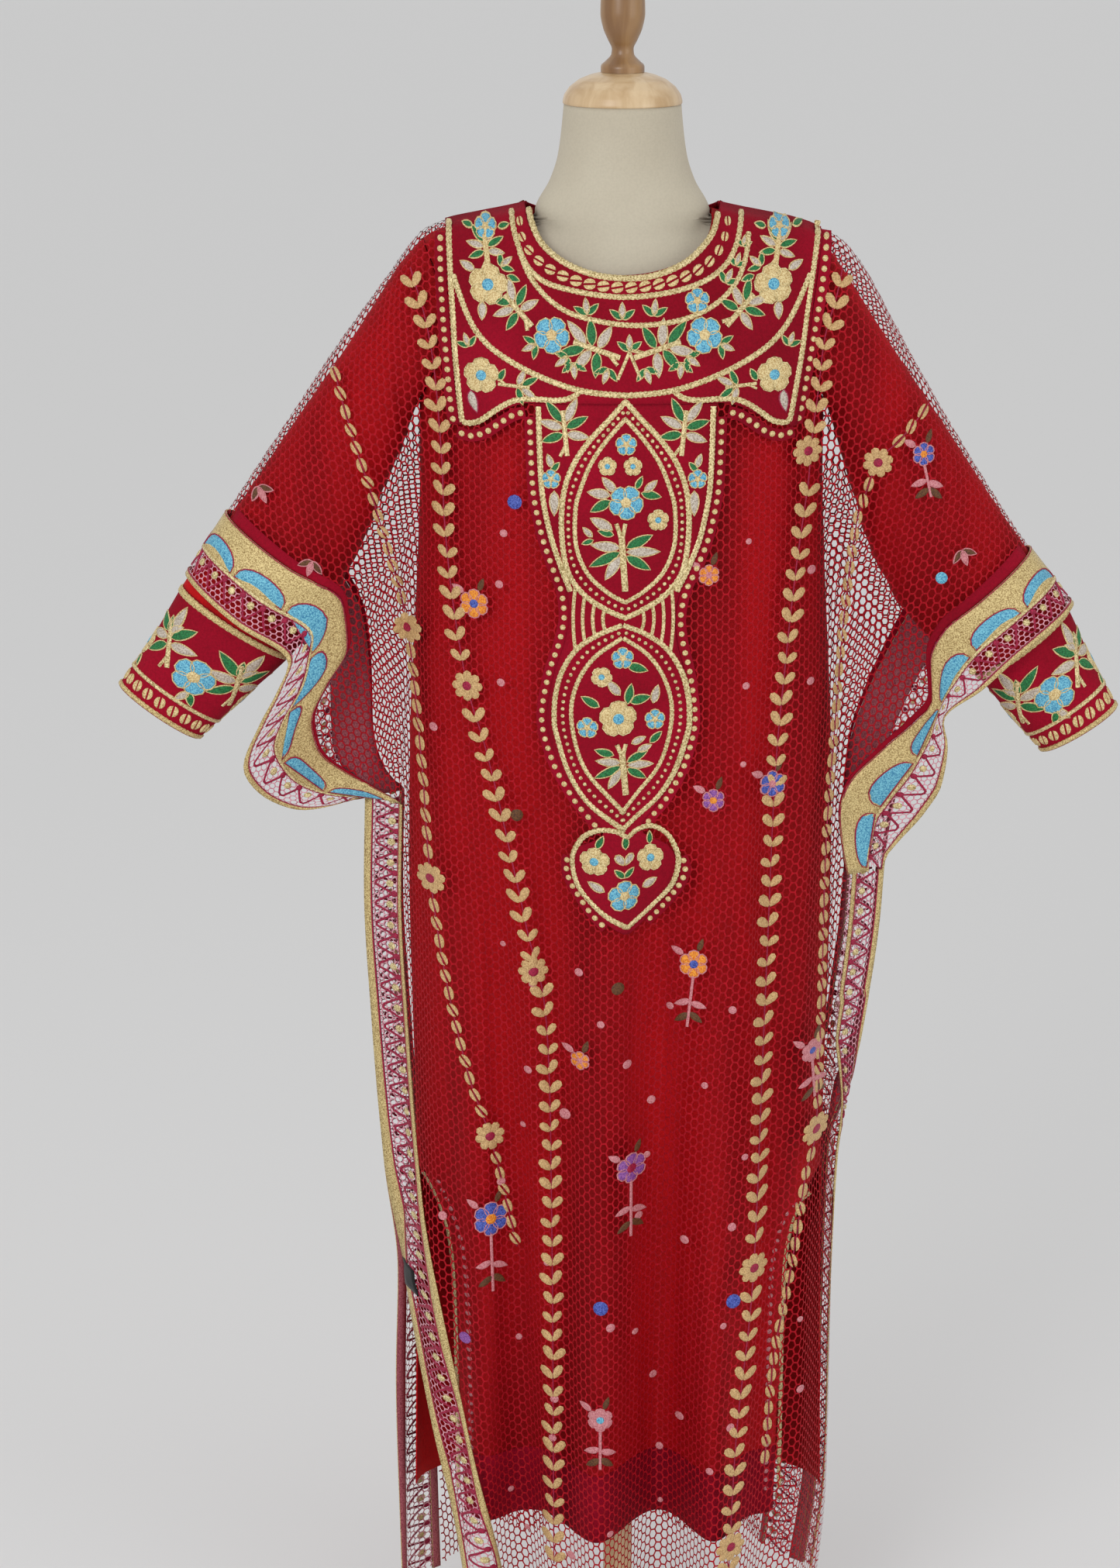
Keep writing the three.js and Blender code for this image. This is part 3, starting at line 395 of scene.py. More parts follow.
def net_place(U, v, face, side):
    """(x, z) and the face that a thread has turned to, for one side of the sheet."""
    u, out = np.clip(np.abs(U), 0, 1), np.clip(np.abs(U) - 1, 0, 1)
    w = np.clip((v - NET_UP) / (1 - NET_UP), 0, 1)
    inner, outer = net_opening[side, face]
    high = np.where((out > 0)[..., None], mix(inner(w), outer(w), out[..., None]), net_patch[side, face](u, w))
    hem = mix(HEM_MIDDLE[face], HEM_CORNER[side, face], u * u)
    z = mix(hem, mix(MIDDLE, net_low[side], u), v / NET_UP)
    edge = net_edge[side][side_word(face)](z)
    plain = (edge - SIDE_WIDE) * np.sin(u * np.pi / 2) + SIDE_WIDE * out
    # Low down on the right the whole side seam has slipped 0.31 radians round towards the back.
    turn = smooth(760, 560, z) if side == RIGHT else 0 * z
    seam = np.pi / 2 - face * 0.31 * turn - mix(0.023, 0.003, turn)
    angle = mix(np.arcsin(np.clip(plain / edge, -1, 1)), mix(u * (seam - 0.4), seam, out), turn)
    x = np.where(turn > 0, edge * np.sin(angle), plain)
    low = np.stack([x, z], -1)
    behind = np.where((turn > 0) & (angle > np.pi / 2), BACK, face)
    above = v >= NET_UP
    return np.where(above[..., None], high, low), np.where(above, face, behind)


def net_point(U, v, face, side, lift=0.0):
    """Points of the sheet in millimetres, moved out of it by lift."""
    U, v = np.broadcast_arrays(np.asarray(U, float), np.asarray(v, float))

    def plain(U, v):
        place, turned = net_place(U, v, face, side)
        x, z = side * place[..., 0], place[..., 1]
        in_front, behind = net_depth_side(x, z, FRONT, side), net_depth_side(x, z, BACK, side)
        depth = np.where(turned == FRONT, in_front, behind)
        apart = 0.15 + 1.6 * (1 - np.clip((v - NET_UP) / (1 - NET_UP), 0, 1))
        return np.stack([x, turned * (depth + apart), z], -1)

    here = plain(U, v)
    if np.all(np.asarray(lift) == 0):
        return here
    e = 2e-3
    across = plain(np.minimum(2, np.abs(U) + e), v) - plain(np.maximum(0, np.abs(U) - e), v)
    up = plain(U, np.minimum(1, v + e)) - plain(U, np.maximum(0, v - e))
    normal = np.cross(across, up) * (-face * side)
    normal /= np.maximum(np.linalg.norm(normal, axis=-1, keepdims=True), 1e-9)
    return here + normal * np.asarray(lift)[..., None]


print("left sleeve corner at", np.round(net_point(1.0, NET_UP, FRONT, LEFT)))

# %% [markdown]
# Everything embroidered on the net is placed by (x, z), as a pattern is pinned on cloth that hangs in front of
# you, and it is pushed back until it meets the net. Moving it out along the cloth's own slope makes it lie on
# a fold instead of cutting through it.

# %% Laying a pattern on the net
def net_gap(z):
    """How far the net stands off its layer's depth: more towards the hem."""
    return DRESS_GAP + 1.6 * np.clip((1519 - z) / 630, 0, 1)


def laid_on(depth_of, face, gap_of, upright=1):
    """Puts (x, z) on a layer, moved out by lift along its slope; upright 0 leaves out the slope up and down."""
    def place(x, z, lift):
        e = 0.5
        depth = depth_of(x, z, face)
        lean_x = (depth_of(x + e, z, face) - depth_of(x - e, z, face)) / (2 * e)
        lean_z = upright * (depth_of(x, z + e, face) - depth_of(x, z - e, face)) / (2 * e)
        normal = np.stack([-lean_x, np.full_like(depth, face), -lean_z], -1)
        normal /= np.linalg.norm(normal, axis=-1, keepdims=True)
        return np.stack([x, face * (depth + gap_of(z)), z], -1) + normal * np.asarray(lift)[..., None]

    return place


def on_net(face):
    return laid_on(net_depth, face, net_gap)


print("a stitch on the chest lies at", np.round(on_net(FRONT)(0.0, 1300.0, 1.0), 1))


# %% [markdown]
# Turn points into a mesh once, in one place. Every piece rides on the one body and says which solid it stands
# for.

# %% Making a piece
triangles_made = {}


def new_piece(name, points, faces, materials=(), face_materials=None, stands_for=()):
    name = name.replace(" ", "_")
    mesh = bpy.data.meshes.new(name)
    mesh.from_pydata(to_metres(points).tolist(), [], [list(f) for f in faces])
    for material in materials:
        mesh.materials.append(material)
    if face_materials is not None:
        mesh.polygons.foreach_set("material_index", np.asarray(face_materials, dtype=np.int32))
    mesh.polygons.foreach_set("use_smooth", [True] * len(mesh.polygons))
    mesh.update()
    piece = bpy.data.objects.new(name, mesh)
    bpy.context.collection.objects.link(piece)
    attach(piece, "root")
    if stands_for:
        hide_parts(*stands_for)
    triangles_made[name] = sum(len(f) - 2 for f in faces)
    print(f"{name}: {triangles_made[name]} triangles")
    return piece


def grid_faces(rows, columns, start=0, wrap=False):
    across = columns if wrap else columns - 1
    j, i = np.meshgrid(np.arange(rows - 1), np.arange(across), indexing="ij")
    after = (i + 1) % columns
    low, high = j * columns + start, (j + 1) * columns + start
    return np.stack([low + i, low + after, high + after, high + i], -1).reshape(-1, 4).tolist()


def grid_normals(grid):
    across, up = np.gradient(grid, axis=1), np.gradient(grid, axis=0)
    normal = np.cross(across, up)
    return normal / np.maximum(np.linalg.norm(normal, axis=-1, keepdims=True), 1e-9)


def cloth_wall(grid, thickness, outward):
    """A closed wall: an outer grid of points, an inner one behind it, and the edges between them."""
    rows, columns = grid.shape[:2]
    n = rows * columns
    normal = grid_normals(grid)
    flip = np.sign((normal * outward).sum(-1).mean())
    inner = grid - normal * flip * thickness
    turn = 1 if flip > 0 else -1
    outer_faces = [f[::turn] for f in grid_faces(rows, columns)]
    inner_faces = [f[::-turn] for f in grid_faces(rows, columns, n)]
    rim = [*range(n - columns, -1, -columns), *range(1, columns)]
    rim += [*range(2 * columns - 1, n, columns), *range(n - 2, n - columns, -1)]
    edges = [[a, b, b + n, a + n][::-turn] for a, b in zip(rim, rim[1:] + rim[:1])]
    return np.concatenate([grid.reshape(-1, 3), inner.reshape(-1, 3)]), outer_faces + inner_faces + edges


print("a 3 by 3 grid has", len(grid_faces(3, 3)), "faces")

# %% [markdown]
# Thread and cloth get their look from nodes alone. Slow noise makes the dye uneven, and on the red dress cloth,
# drawn out upright, it also paints the shade and light of long folds. Fine noise or a weave makes the surface catch
# light, and in thread the fine noise also paints a highlight on each tuft and shade between them. The numbers that
# are the same all over sit on the shader itself.
# Colours are read as a painter mixes them, 0 to 255, and turned into light.

# %% Finishes
def dye(*mixed):
    return tuple(c / 255 / 12.92 if c <= 10 else ((c / 255 + 0.055) / 1.055) ** 2.4 for c in mixed) + (1,)


def finish_of(name, roughness=0.8, metallic=0.0, sheen=0.0, coat=0.0, shine=0.5):
    material = bpy.data.materials.new(name)
    material.use_nodes = True
    shader = material.node_tree.nodes["Principled BSDF"]
    for socket, value in (("Roughness", roughness), ("Metallic", metallic), ("Sheen Weight", sheen),
                          ("Sheen Roughness", 0.4), ("Specular IOR Level", shine), ("Coat Weight", coat)):
        shader.inputs[socket].default_value = value
    return material, shader


def node(material, kind, **settings):
    made = material.node_tree.nodes.new(kind)
    for name, value in settings.items():
        if name in made.inputs:
            made.inputs[name].default_value = value
        else:
            setattr(made, name, value)
    return made


def wire(material, start, end):
    material.node_tree.links.new(start, end)


def place_node(material):
    return node(material, "ShaderNodeTexCoord").outputs["Object"]


def noise(material, scale, detail=2.0, stretched=(1, 1, 1), distortion=0.0):
    """Uneven patches; a stretch below 1 draws them out that way."""
    made = node(material, "ShaderNodeTexNoise", Scale=scale, Detail=detail, Distortion=distortion)
    stretch = node(material, "ShaderNodeMapping", Scale=stretched)
    wire(material, place_node(material), stretch.inputs["Vector"])
    wire(material, stretch.outputs["Vector"], made.inputs["Vector"])
    return made.outputs["Fac"]


def colour_ramp(material, factor, low, high, start=0.3, end=0.7):
    ramp = node(material, "ShaderNodeValToRGB")
    ramp.color_ramp.elements[0].position, ramp.color_ramp.elements[1].position = start, end
    ramp.color_ramp.elements[0].color, ramp.color_ramp.elements[1].color = low, high
    wire(material, factor, ramp.inputs["Fac"])
    return ramp.outputs["Color"]


def raise_by(material, shader, height, distance, strength=1.0):
    bump = node(material, "ShaderNodeBump", Distance=distance, Strength=strength)
    wire(material, height, bump.inputs["Height"])
    wire(material, bump.outputs["Normal"], shader.inputs["Normal"])


def multiply(material, first, second):
    made = node(material, "ShaderNodeMix", data_type="RGBA", blend_type="MULTIPLY")
    made.inputs["Factor"].default_value = 1
    wire(material, first, made.inputs[6])
    wire(material, second, made.inputs[7])
    return made.outputs[2]


def thread(name, dark, light, metallic=0.0, roughness=0.55, grain=700, deep=0.0005, shine=0.4):
    """Close rows of stitches: the tone varies at random from tuft to tuft, and each tuft's colour also follows its
    height, with a painted highlight on top and painted shade where it goes down.
    """
    material, shader = finish_of(name, roughness, metallic, shine=shine)
    tuft_height_and_shade = noise(material, grain, 3)
    # The tuft colour rises with the tuft height: a painted highlight on the tops and painted shade in the dips.
    wire(material, colour_ramp(material, tuft_height_and_shade, dye(*dark), dye(*light), 0.36, 0.62), shader.inputs["Base Color"])
    raise_by(material, shader, tuft_height_and_shade, deep)
    return material


def woven(name, dark, light, threads_per_mm, roughness=0.8, sheen=0.0, deep=0.00012, blotch=7.0, slub=0.82,
          upright=1.0):
    """Plain cloth: a fine over-and-under weave, and dye that is a little uneven over a hand's width; upright below 1
    draws those patches into tall streaks of painted fold shade and light.
    """
    material, shader = finish_of(name, roughness, 0.0, sheen, shine=0.15)
    patches = noise(material, blotch, stretched=(1, 1, upright))
    shade = colour_ramp(material, patches, dye(*dark), dye(*light), 0.35, 0.65)
    thick_and_thin = colour_ramp(material, noise(material, 420, 3), (slub, slub, slub, 1), (1, 1, 1, 1), 0.35, 0.6)
    wire(material, multiply(material, shade, thick_and_thin), shader.inputs["Base Color"])
    weave = []
    for direction in ("X", "Z"):
        bands = node(material, "ShaderNodeTexWave", Scale=threads_per_mm * 160, Distortion=0.6, Detail=1.0)
        bands.bands_direction = direction
        wire(material, place_node(material), bands.inputs["Vector"])
        weave.append(bands.outputs["Fac"])
    over = node(material, "ShaderNodeMath", operation="MULTIPLY")
    wire(material, weave[0], over.inputs[0])
    wire(material, weave[1], over.inputs[1])
    raise_by(material, shader, over.outputs[0], deep, 0.8)
    return material


# The red cloth's patches are drawn out ten times taller than wide: painted shade and light of long folds, over uneven
# dye.
red_cloth = woven("red dress cloth", (138, 4, 10), (192, 12, 20), 1.4, blotch=13, upright=0.1)
maroon_cloth = woven("maroon yoke cloth", (130, 3, 26), (158, 7, 38), 1.1, roughness=0.9, deep=0.0002)
linen = woven("linen of the form", (186, 177, 158), (198, 190, 171), 0.8, deep=0.00003, slub=0.95)
net_thread = thread("net thread", (136, 6, 20), (172, 12, 30), roughness=0.7, grain=420, deep=0.0002, shine=0.15)
gold_thread = thread("gold thread", (150, 126, 74), (236, 218, 166), 0.25, 0.4, 620)
gold_cloth = thread("looped gold cloth", (150, 122, 72), (228, 206, 146), 0.25, 0.45, 760, 0.0006)
vine_silk = thread("vine silk", (168, 130, 84), (214, 178, 124), 0.05, 0.6)
beige_silk = thread("beige silk", (178, 146, 90), (230, 210, 156), 0.1, 0.5)
silver_silk = thread("silver silk", (152, 136, 120), (206, 196, 182), 0.15, 0.45)
blue_silk = thread("blue silk", (48, 124, 166), (122, 196, 216), 0.1, 0.5)
green_silk = thread("green silk", (6, 74, 34), (34, 126, 66), 0.0, 0.6)
maroon_silk = thread("maroon silk", (120, 2, 40), (170, 16, 66), 0.0, 0.55)
pink_organza = thread("pale organza", (176, 96, 104), (210, 142, 146), 0.05, 0.6)
orange_silk = thread("orange silk", (196, 92, 10), (240, 160, 50), 0.0, 0.55)
deep_blue_silk = thread("deep blue silk", (30, 44, 128), (84, 104, 190), 0.0, 0.5)
violet_silk = thread("violet silk", (96, 40, 120), (158, 96, 170), 0.0, 0.5)
olive_silk = thread("olive silk", (70, 34, 16), (104, 66, 28), 0.0, 0.6)
border_net = thread("border net thread", (184, 112, 130), (220, 162, 174), roughness=0.6, grain=420, deep=0.0002)
wrong_side = thread("wrong side of a border", (126, 40, 58), (176, 96, 104), roughness=0.7)
black_tape = woven("black tape", (10, 10, 10), (22, 22, 22), 1.0, 0.6, 0.1)
print(len(bpy.data.materials), "finishes")

# %% [markdown]
# Turned beech shows its rings as long streaks up the wood. Noise that is drawn out upwards gives them, and a thin
# coat gives the sheen of oil. The knob has been waxed and handled more, so it is darker than the cap.

# %% Oiled beech
def beech_of(name, light, dark):
    material, shader = finish_of(name, 0.38, 0.0, 0.0, 0.25)
    shader.inputs["Coat Roughness"].default_value = 0.25
    rings = noise(material, 1.0, 6.0, (60, 60, 7), 0.6)
    wire(material, colour_ramp(material, rings, dye(*dark), dye(*light), 0.35, 0.65), shader.inputs["Base Color"])
    raise_by(material, shader, rings, 0.0002, 0.5)
    return material


beech = beech_of("beech", (212, 186, 148), (186, 154, 112))
waxed = beech_of("waxed beech", (158, 122, 80), (126, 90, 54))
print("beech has", len(beech.node_tree.nodes), "nodes")

# %% [markdown]
# The dress form is a smooth padded trunk under stretched linen, with a turned beech cap and knob on its neck
# and a pole and a round foot below. It could be carved, but two ovals run into each other give the same shape
# that its solid has, at any fineness.

# %% Form and stand
def closed_rings(grid):
    """Faces between rings of points, with a flat end at either side."""
    rings, sides = grid.shape[:2]
    last = (rings - 1) * sides
    return grid_faces(rings, sides, wrap=True) + [[*range(sides)][::-1], [*range(last, last + sides)]]


def turned_piece(name, profile, stands_for, wood=beech, sides=96):
    profile = np.array(profile, float)
    turn = np.linspace(0, 2 * np.pi, sides, endpoint=False)
    radius, height = profile[:, :1], profile[:, 1:]
    grid = np.stack([radius * np.cos(turn), radius * np.sin(turn), height + 0 * turn], -1)
    piece = new_piece(name, grid.reshape(-1, 3), closed_rings(grid), [wood], stands_for=stands_for)
    piece.data.set_sharp_from_angle(angle=np.radians(40))


def eased(corners, ease=1.6):
    """Rounds each corner of a profile a little, as sanding does."""
    points = [np.array(p, float) for p in corners]
    out = [points[0]]
    for before, here, after in zip(points, points[1:], points[2:]):
        a, b = here - before, after - here
        near = min(ease, np.linalg.norm(a) / 2.5, np.linalg.norm(b) / 2.5)
        start, end = here - a / np.linalg.norm(a) * near, here + b / np.linalg.norm(b) * near
        out += [mix(mix(start, here, t), mix(here, end, t), t) for t in (0, 0.33, 0.67, 1)]
    return out + [points[-1]]


turned_piece("stand foot", eased([(0.5, 0), (166, 0), (170, 4), (170, 12), (160, 20), (60, 24), (34, 30), (0.5, 30)]),
             ["stand_base"])
turned_piece("stand pole", eased([(0.5, 30), (15, 30), (15, 790), (0.5, 790)]), ["stand_pole"])
turned_piece("stand flange", eased([(0.5, 790), (46, 790), (46, 800), (0.5, 800)]), ["stand_flange"])
turned_piece("neck cap", eased([(0.5, 1615), (57.5, 1615), (57.5, 1618), (56, 1624), (51, 1631), (42, 1638),
                                (31, 1642.5), (20, 1645), (0.5, 1645)]), ["neck_cap"])
knob = curve([1645, 1651, 1655, 1662, 1667, 1675, 1687, 1701, 1717, 1733, 1745, 1752, 1754],
             [21, 21, 17, 11, 10.5, 14, 19, 21.5, 21, 18, 12.5, 6, 0.5])
levels = np.linspace(1645, 1754, 60)
turned_piece("neck knob", [(0.5, 1645), *zip(knob(levels), levels)], ["finial"], waxed)

# %% [markdown]
# The trunk is padded and covered in linen, closed at the foot and at the neck. Rings of points at many levels,
# with more of them where the shoulders turn in, follow the two ovals closely.

# %% The trunk
levels = np.concatenate([np.linspace(800, 1430, 50), np.linspace(1436, 1515, 34), np.linspace(1520, 1615, 22)])
turn = np.linspace(0, 2 * np.pi, 128, endpoint=False)
z, turn = np.meshgrid(levels, turn, indexing="ij")
reach = np.maximum(trunk["side"](z) * (z < 1512), neck["side"](z))
x = reach * np.sin(turn)
depth = np.where(np.cos(turn) > 0, -form_depth(x, z, FRONT), form_depth(x, z, BACK))
grid = np.stack([x, depth, z], -1)
new_piece("form trunk", grid.reshape(-1, 3), closed_rings(grid), [linen], stands_for=["form_torso"])

# %% [markdown]
# The dress has a front and a back, cut to a round neck and sewn at the shoulders and down the sides as far as
# the slits. Each is a wall of cloth 1.5 mm thick with the large folds that its solid has, and finer creases.

# %% Dress front and back
def armhole(w):
    """(x, z) along the armhole, from its foot (0) to the shoulder (1)."""
    return mix(197, 192, w) - 25 * np.sin(np.pi * w), mix(ARMHOLE_LOW, SHOULDER_TIP, w)


def dress_grid(face, columns, rows):
    """Rows of points from the hem up; a share body_part of them lies below the armholes."""
    drop, body_part = NECK_DROP[face], 0.72
    upper = patch(lambda u: np.stack([dress["side"](ARMHOLE_LOW) * np.sin(u * np.pi / 2), 0 * u + ARMHOLE_LOW], -1),
                  neck_and_shoulder(drop, 192, 0),
                  lambda w: np.stack([0 * w, mix(ARMHOLE_LOW, NECK_POINT - drop, w)], -1),
                  lambda w: np.stack(armhole(w), -1))
    v, U = np.meshgrid(np.linspace(0, 1, rows), np.linspace(-1, 1, columns), indexing="ij")
    low = v < body_part
    z = mix(DRESS_HEM, ARMHOLE_LOW, np.minimum(v, body_part) / body_part)
    x = dress_edge(z, face) * np.sin(np.abs(U) * np.pi / 2)
    high = upper(np.abs(U), np.clip((v - body_part) / 0.28, 0, 1))
    x, z = np.where(low, x, high[..., 0]) * np.sign(U), np.where(low, z, high[..., 1])
    return np.stack([x, face * (dress_depth(x, z, face) + DRESS_GAP), z], -1)


def cloth_area(grid):
    a, b = grid[1:, :-1] - grid[:-1, :-1], grid[:-1, 1:] - grid[:-1, :-1]
    c, d = grid[1:, 1:] - grid[1:, :-1], grid[1:, 1:] - grid[:-1, 1:]
    return float((np.linalg.norm(np.cross(a, b), axis=-1) + np.linalg.norm(np.cross(c, d), axis=-1)).sum() / 2e6)


def declare_cloth(grid):
    area = cloth_area(grid)


def cloth_piece(name, grid, thickness, outward, cloth, stands_for=()):
    """A closed wall of cloth behind a grid of points; its flat size is worked out and not kept."""
    points, faces = cloth_wall(grid, thickness, outward)
    piece = new_piece(name, points, faces, [cloth], stands_for=stands_for)
    declare_cloth(grid)
    return piece


def outward_of(face):
    return np.array([0, face, 0])


stood_for = {FRONT: ["dress_front"], BACK: ["dress_back", "dress_back_skirt"]}
for face, word, columns, rows in ((FRONT, "front", 150, 130), (BACK, "back", 110, 100)):
    grid = dress_grid(face, columns, rows)
    cloth_piece(f"dress {word}", grid, DRESS_THICK, outward_of(face), red_cloth,
                                     stood_for[face])

# %% [markdown]
# The sleeves are plain tubes that taper to a stiff embroidered cuff, and the cuff is open at the wrist.

# %% Sleeves and cuffs
sleeve = {
    LEFT: table("top_x top_z low_x low_z depth", [
        (1, 216.6, 1459.4, 211, 1292, 51), (2, 265.6, 1383.4, 232, 1241, 52), (3, 323.6, 1300.4, 262, 1170, 49),
        (4, 381.6, 1215.4, 296, 1112, 45), (5, 431.4, 1144.9, 325, 1075, 41), (6, 463, 1092, 373, 1031, 35),
        (7, 497, 1044, 419, 989, 29)]),
    RIGHT: table("top_x top_z low_x low_z depth", [
        (1, 213.3, 1457.8, 211, 1290, 51), (2, 256.3, 1390.8, 229, 1230, 52), (3, 313.3, 1306.8, 253, 1163, 49),
        (4, 380.3, 1206.8, 291, 1106, 45), (5, 438.3, 1126.8, 350, 1056, 41), (6, 464, 1074, 386, 1014, 35),
        (7, 493, 1022, 420, 976, 29)])}


def sleeve_point(side, t, k, lift=0.0):
    """t runs round the sleeve from its top; k runs along it, 0 at the armhole, 5 where the cuff begins, 7 at
    the wrist."""
    t, k = np.broadcast_arrays(np.asarray(t, float), np.asarray(k, float))
    angle = t * 2 * np.pi
    w = (1 + np.cos(angle)) / 2
    arm_x, arm_z = armhole(w)
    behind = np.sin(angle) > 0
    root_y = np.where(behind, dress_depth(arm_x, arm_z, BACK), -dress_depth(arm_x, arm_z, FRONT))
    root = np.stack([side * (arm_x + 0.9), root_y, arm_z], -1)
    row, later = sleeve[side], np.maximum(k, 1)
    ring = np.stack([side * mix(row["low_x"](later), row["top_x"](later), w), np.sin(angle) * row["depth"](later),
                     mix(row["low_z"](later), row["top_z"](later), w)], -1)
    point = np.where((k < 1)[..., None], mix(root, ring, np.minimum(k, 1)[..., None]), ring)
    if np.any(np.asarray(lift) != 0):
        across, up = row["top_x"](later) - row["low_x"](later), row["top_z"](later) - row["low_z"](later)
        size = np.hypot(across, up)
        outer = np.stack([side * np.cos(angle) * across / size, np.sin(angle) + 0 * across,
                          np.cos(angle) * up / size], -1)
        point = point + outer / np.linalg.norm(outer, axis=-1, keepdims=True) * np.asarray(lift)[..., None]
    return point


def tube_wall(grid, thickness):
    """grid goes round a tube, ring after ring; the wall grows towards each ring's middle."""
    rings, around = grid.shape[:2]
    inward = grid.mean(1, keepdims=True) - grid
    along = np.roll(grid, -1, 1) - np.roll(grid, 1, 1)
    inward -= along * (inward * along).sum(-1, keepdims=True) / (along * along).sum(-1, keepdims=True)
    inner = grid + inward / np.linalg.norm(inward, axis=-1, keepdims=True) * thickness
    n = rings * around
    faces = grid_faces(rings, around, wrap=True) + [f[::-1] for f in grid_faces(rings, around, n, wrap=True)]
    for first, turn in ((0, 1), (n - around, -1)):
        for i in range(around):
            a, b = first + i, first + (i + 1) % around
            faces.append([a, a + n, b + n, b][::turn])
    return np.concatenate([grid.reshape(-1, 3), inner.reshape(-1, 3)]), faces


def sleeve_creases(t, k):
    """Short creases across the inside of the elbow, fading out round the arm."""
    total = 0 * t
    for at, slant, width, high in ((1.3, 0.5, 0.1, 2.2), (1.9, -0.6, 0.12, -1.8), (2.5, 0.4, 0.1, 2.4),
                                   (3.1, -0.5, 0.13, -2), (3.7, 0.5, 0.1, 2), (4.4, -0.3, 0.1, -1.4)):
        total = total + high * np.exp(-(((k - at - slant * (np.abs(t - 0.5) - 0.25)) / width) ** 2))
    return total * smooth(0.1, 0.4, np.minimum(t, 1 - t)) * smooth(4.9, 4.2, k) * smooth(0.4, 1.1, k)


def tube(name, grid, thickness, cloth, stands_for):
    points, faces = tube_wall(grid, thickness)
    piece = new_piece(name, points, faces, [cloth], stands_for=[stands_for])
    declare_cloth(np.concatenate([grid, grid[:, :1]], 1))


for side, word in HANDS:
    round_it = np.linspace(0, 1, 72, endpoint=False)
    k, t = np.meshgrid(np.linspace(0, 4.995, 80), round_it, indexing="ij")
    grid = sleeve_point(side, t, k, sleeve_creases(t, k) - 0.01)
    tube(f"dress sleeve {word}", grid, DRESS_THICK, red_cloth, f"dress_sleeve_{word}")
    k, t = np.meshgrid(np.linspace(5, 7, 16), round_it, indexing="ij")
    tube(f"cuff {word}", sleeve_point(side, t, k), 1.6, maroon_cloth, f"dress_cuff_{word}")

# %% [markdown]
# The over-thobe is a machine-made net: rows of six-sided holes, each row half a hole lower than the next. It
# could be a picture of holes on a sheet, but then it would have no edge when the light catches it, so the
# threads are made as real ribbons. Measuring along the cloth, over every fold, keeps all holes the same size.

# %% Cloth measured over its folds
HOLE_STEP, HOLE_TALL, HALF_THREAD = 6.3, 9.6, 0.8


def warp_and_weft(face):
    """For a place in the flat cloth (s across, t up, in mm) this gives its (x, z) on the hanging cloth."""
    fine, coarse, even = 1.5, 3.0, 2.0
    xs, zs = np.arange(-470, 471, 1.0), np.arange(60, 1531, coarse)
    z, x = np.meshgrid(zs, xs, indexing="ij")
    depth = net_depth(x, z, face)
    step = np.hypot(np.diff(x, axis=1), np.diff(depth, axis=1))
    run = np.concatenate([np.zeros((len(zs), 1)), np.cumsum(step, axis=1)], 1)
    run -= run[:, [470]]
    ss = np.arange(-900, 901, fine)
    across = np.stack([np.interp(ss, run[j], xs) for j in range(len(zs))])
    deep = np.stack([np.interp(across[j], xs, depth[j]) for j in range(len(zs))])
    rise = np.sqrt(np.diff(across, axis=0) ** 2 * 0.2 + np.diff(deep, axis=0) ** 2 + coarse ** 2)
    up = np.concatenate([np.zeros((1, len(ss))), np.cumsum(rise, axis=0)])
    up -= up[[int(np.searchsorted(zs, 1000))]]
    ts = np.arange(-1000, 800, even)
    height = np.stack([np.interp(ts, up[:, i], zs) for i in range(len(ss))], 1)

    def bilinear(grid, row, column):
        row, column = np.clip(row, 0, grid.shape[0] - 1.001), np.clip(column, 0, grid.shape[1] - 1.001)
        j, i = row.astype(int), column.astype(int)
        a, b = row - j, column - i
        low = mix(grid[j, i], grid[j, i + 1], b)
        return mix(low, mix(grid[j + 1, i], grid[j + 1, i + 1], b), a)

    def read(s, t):
        z = bilinear(height, (t - ts[0]) / even, (s - ss[0]) / fine)
        return bilinear(across, (z - zs[0]) / coarse, (s - ss[0]) / fine), z

    return read


def inside(outline, x, z):
    """Whether each place is inside a closed outline."""
    within = np.zeros(x.shape, bool)
    for (x1, z1), (x2, z2) in zip(outline, np.roll(outline, -1, axis=0)):
        if z1 != z2:
            within ^= ((z1 > z) != (z2 > z)) & (x < (x2 - x1) * (z - z1) / (z2 - z1) + x1)
    return within


def net_outline(face):
    def along(side, U, v):
        place, _ = net_place(np.asarray(U, float), np.asarray(v, float), face, side)
        return np.stack([side * place[..., 0], place[..., 1]], -1)

    u, v = np.linspace(0, 1, 60), np.linspace(0, 1, 160)
    half = {}
    for side in (LEFT, RIGHT):
        half[side] = np.concatenate([along(side, u[:-1], 0 * u[:-1]), along(side, 1 + 0 * v, v),
                                     along(side, u[::-1][1:], 1 + 0 * u[1:])])
    return np.concatenate([half[RIGHT], half[LEFT][::-1]])


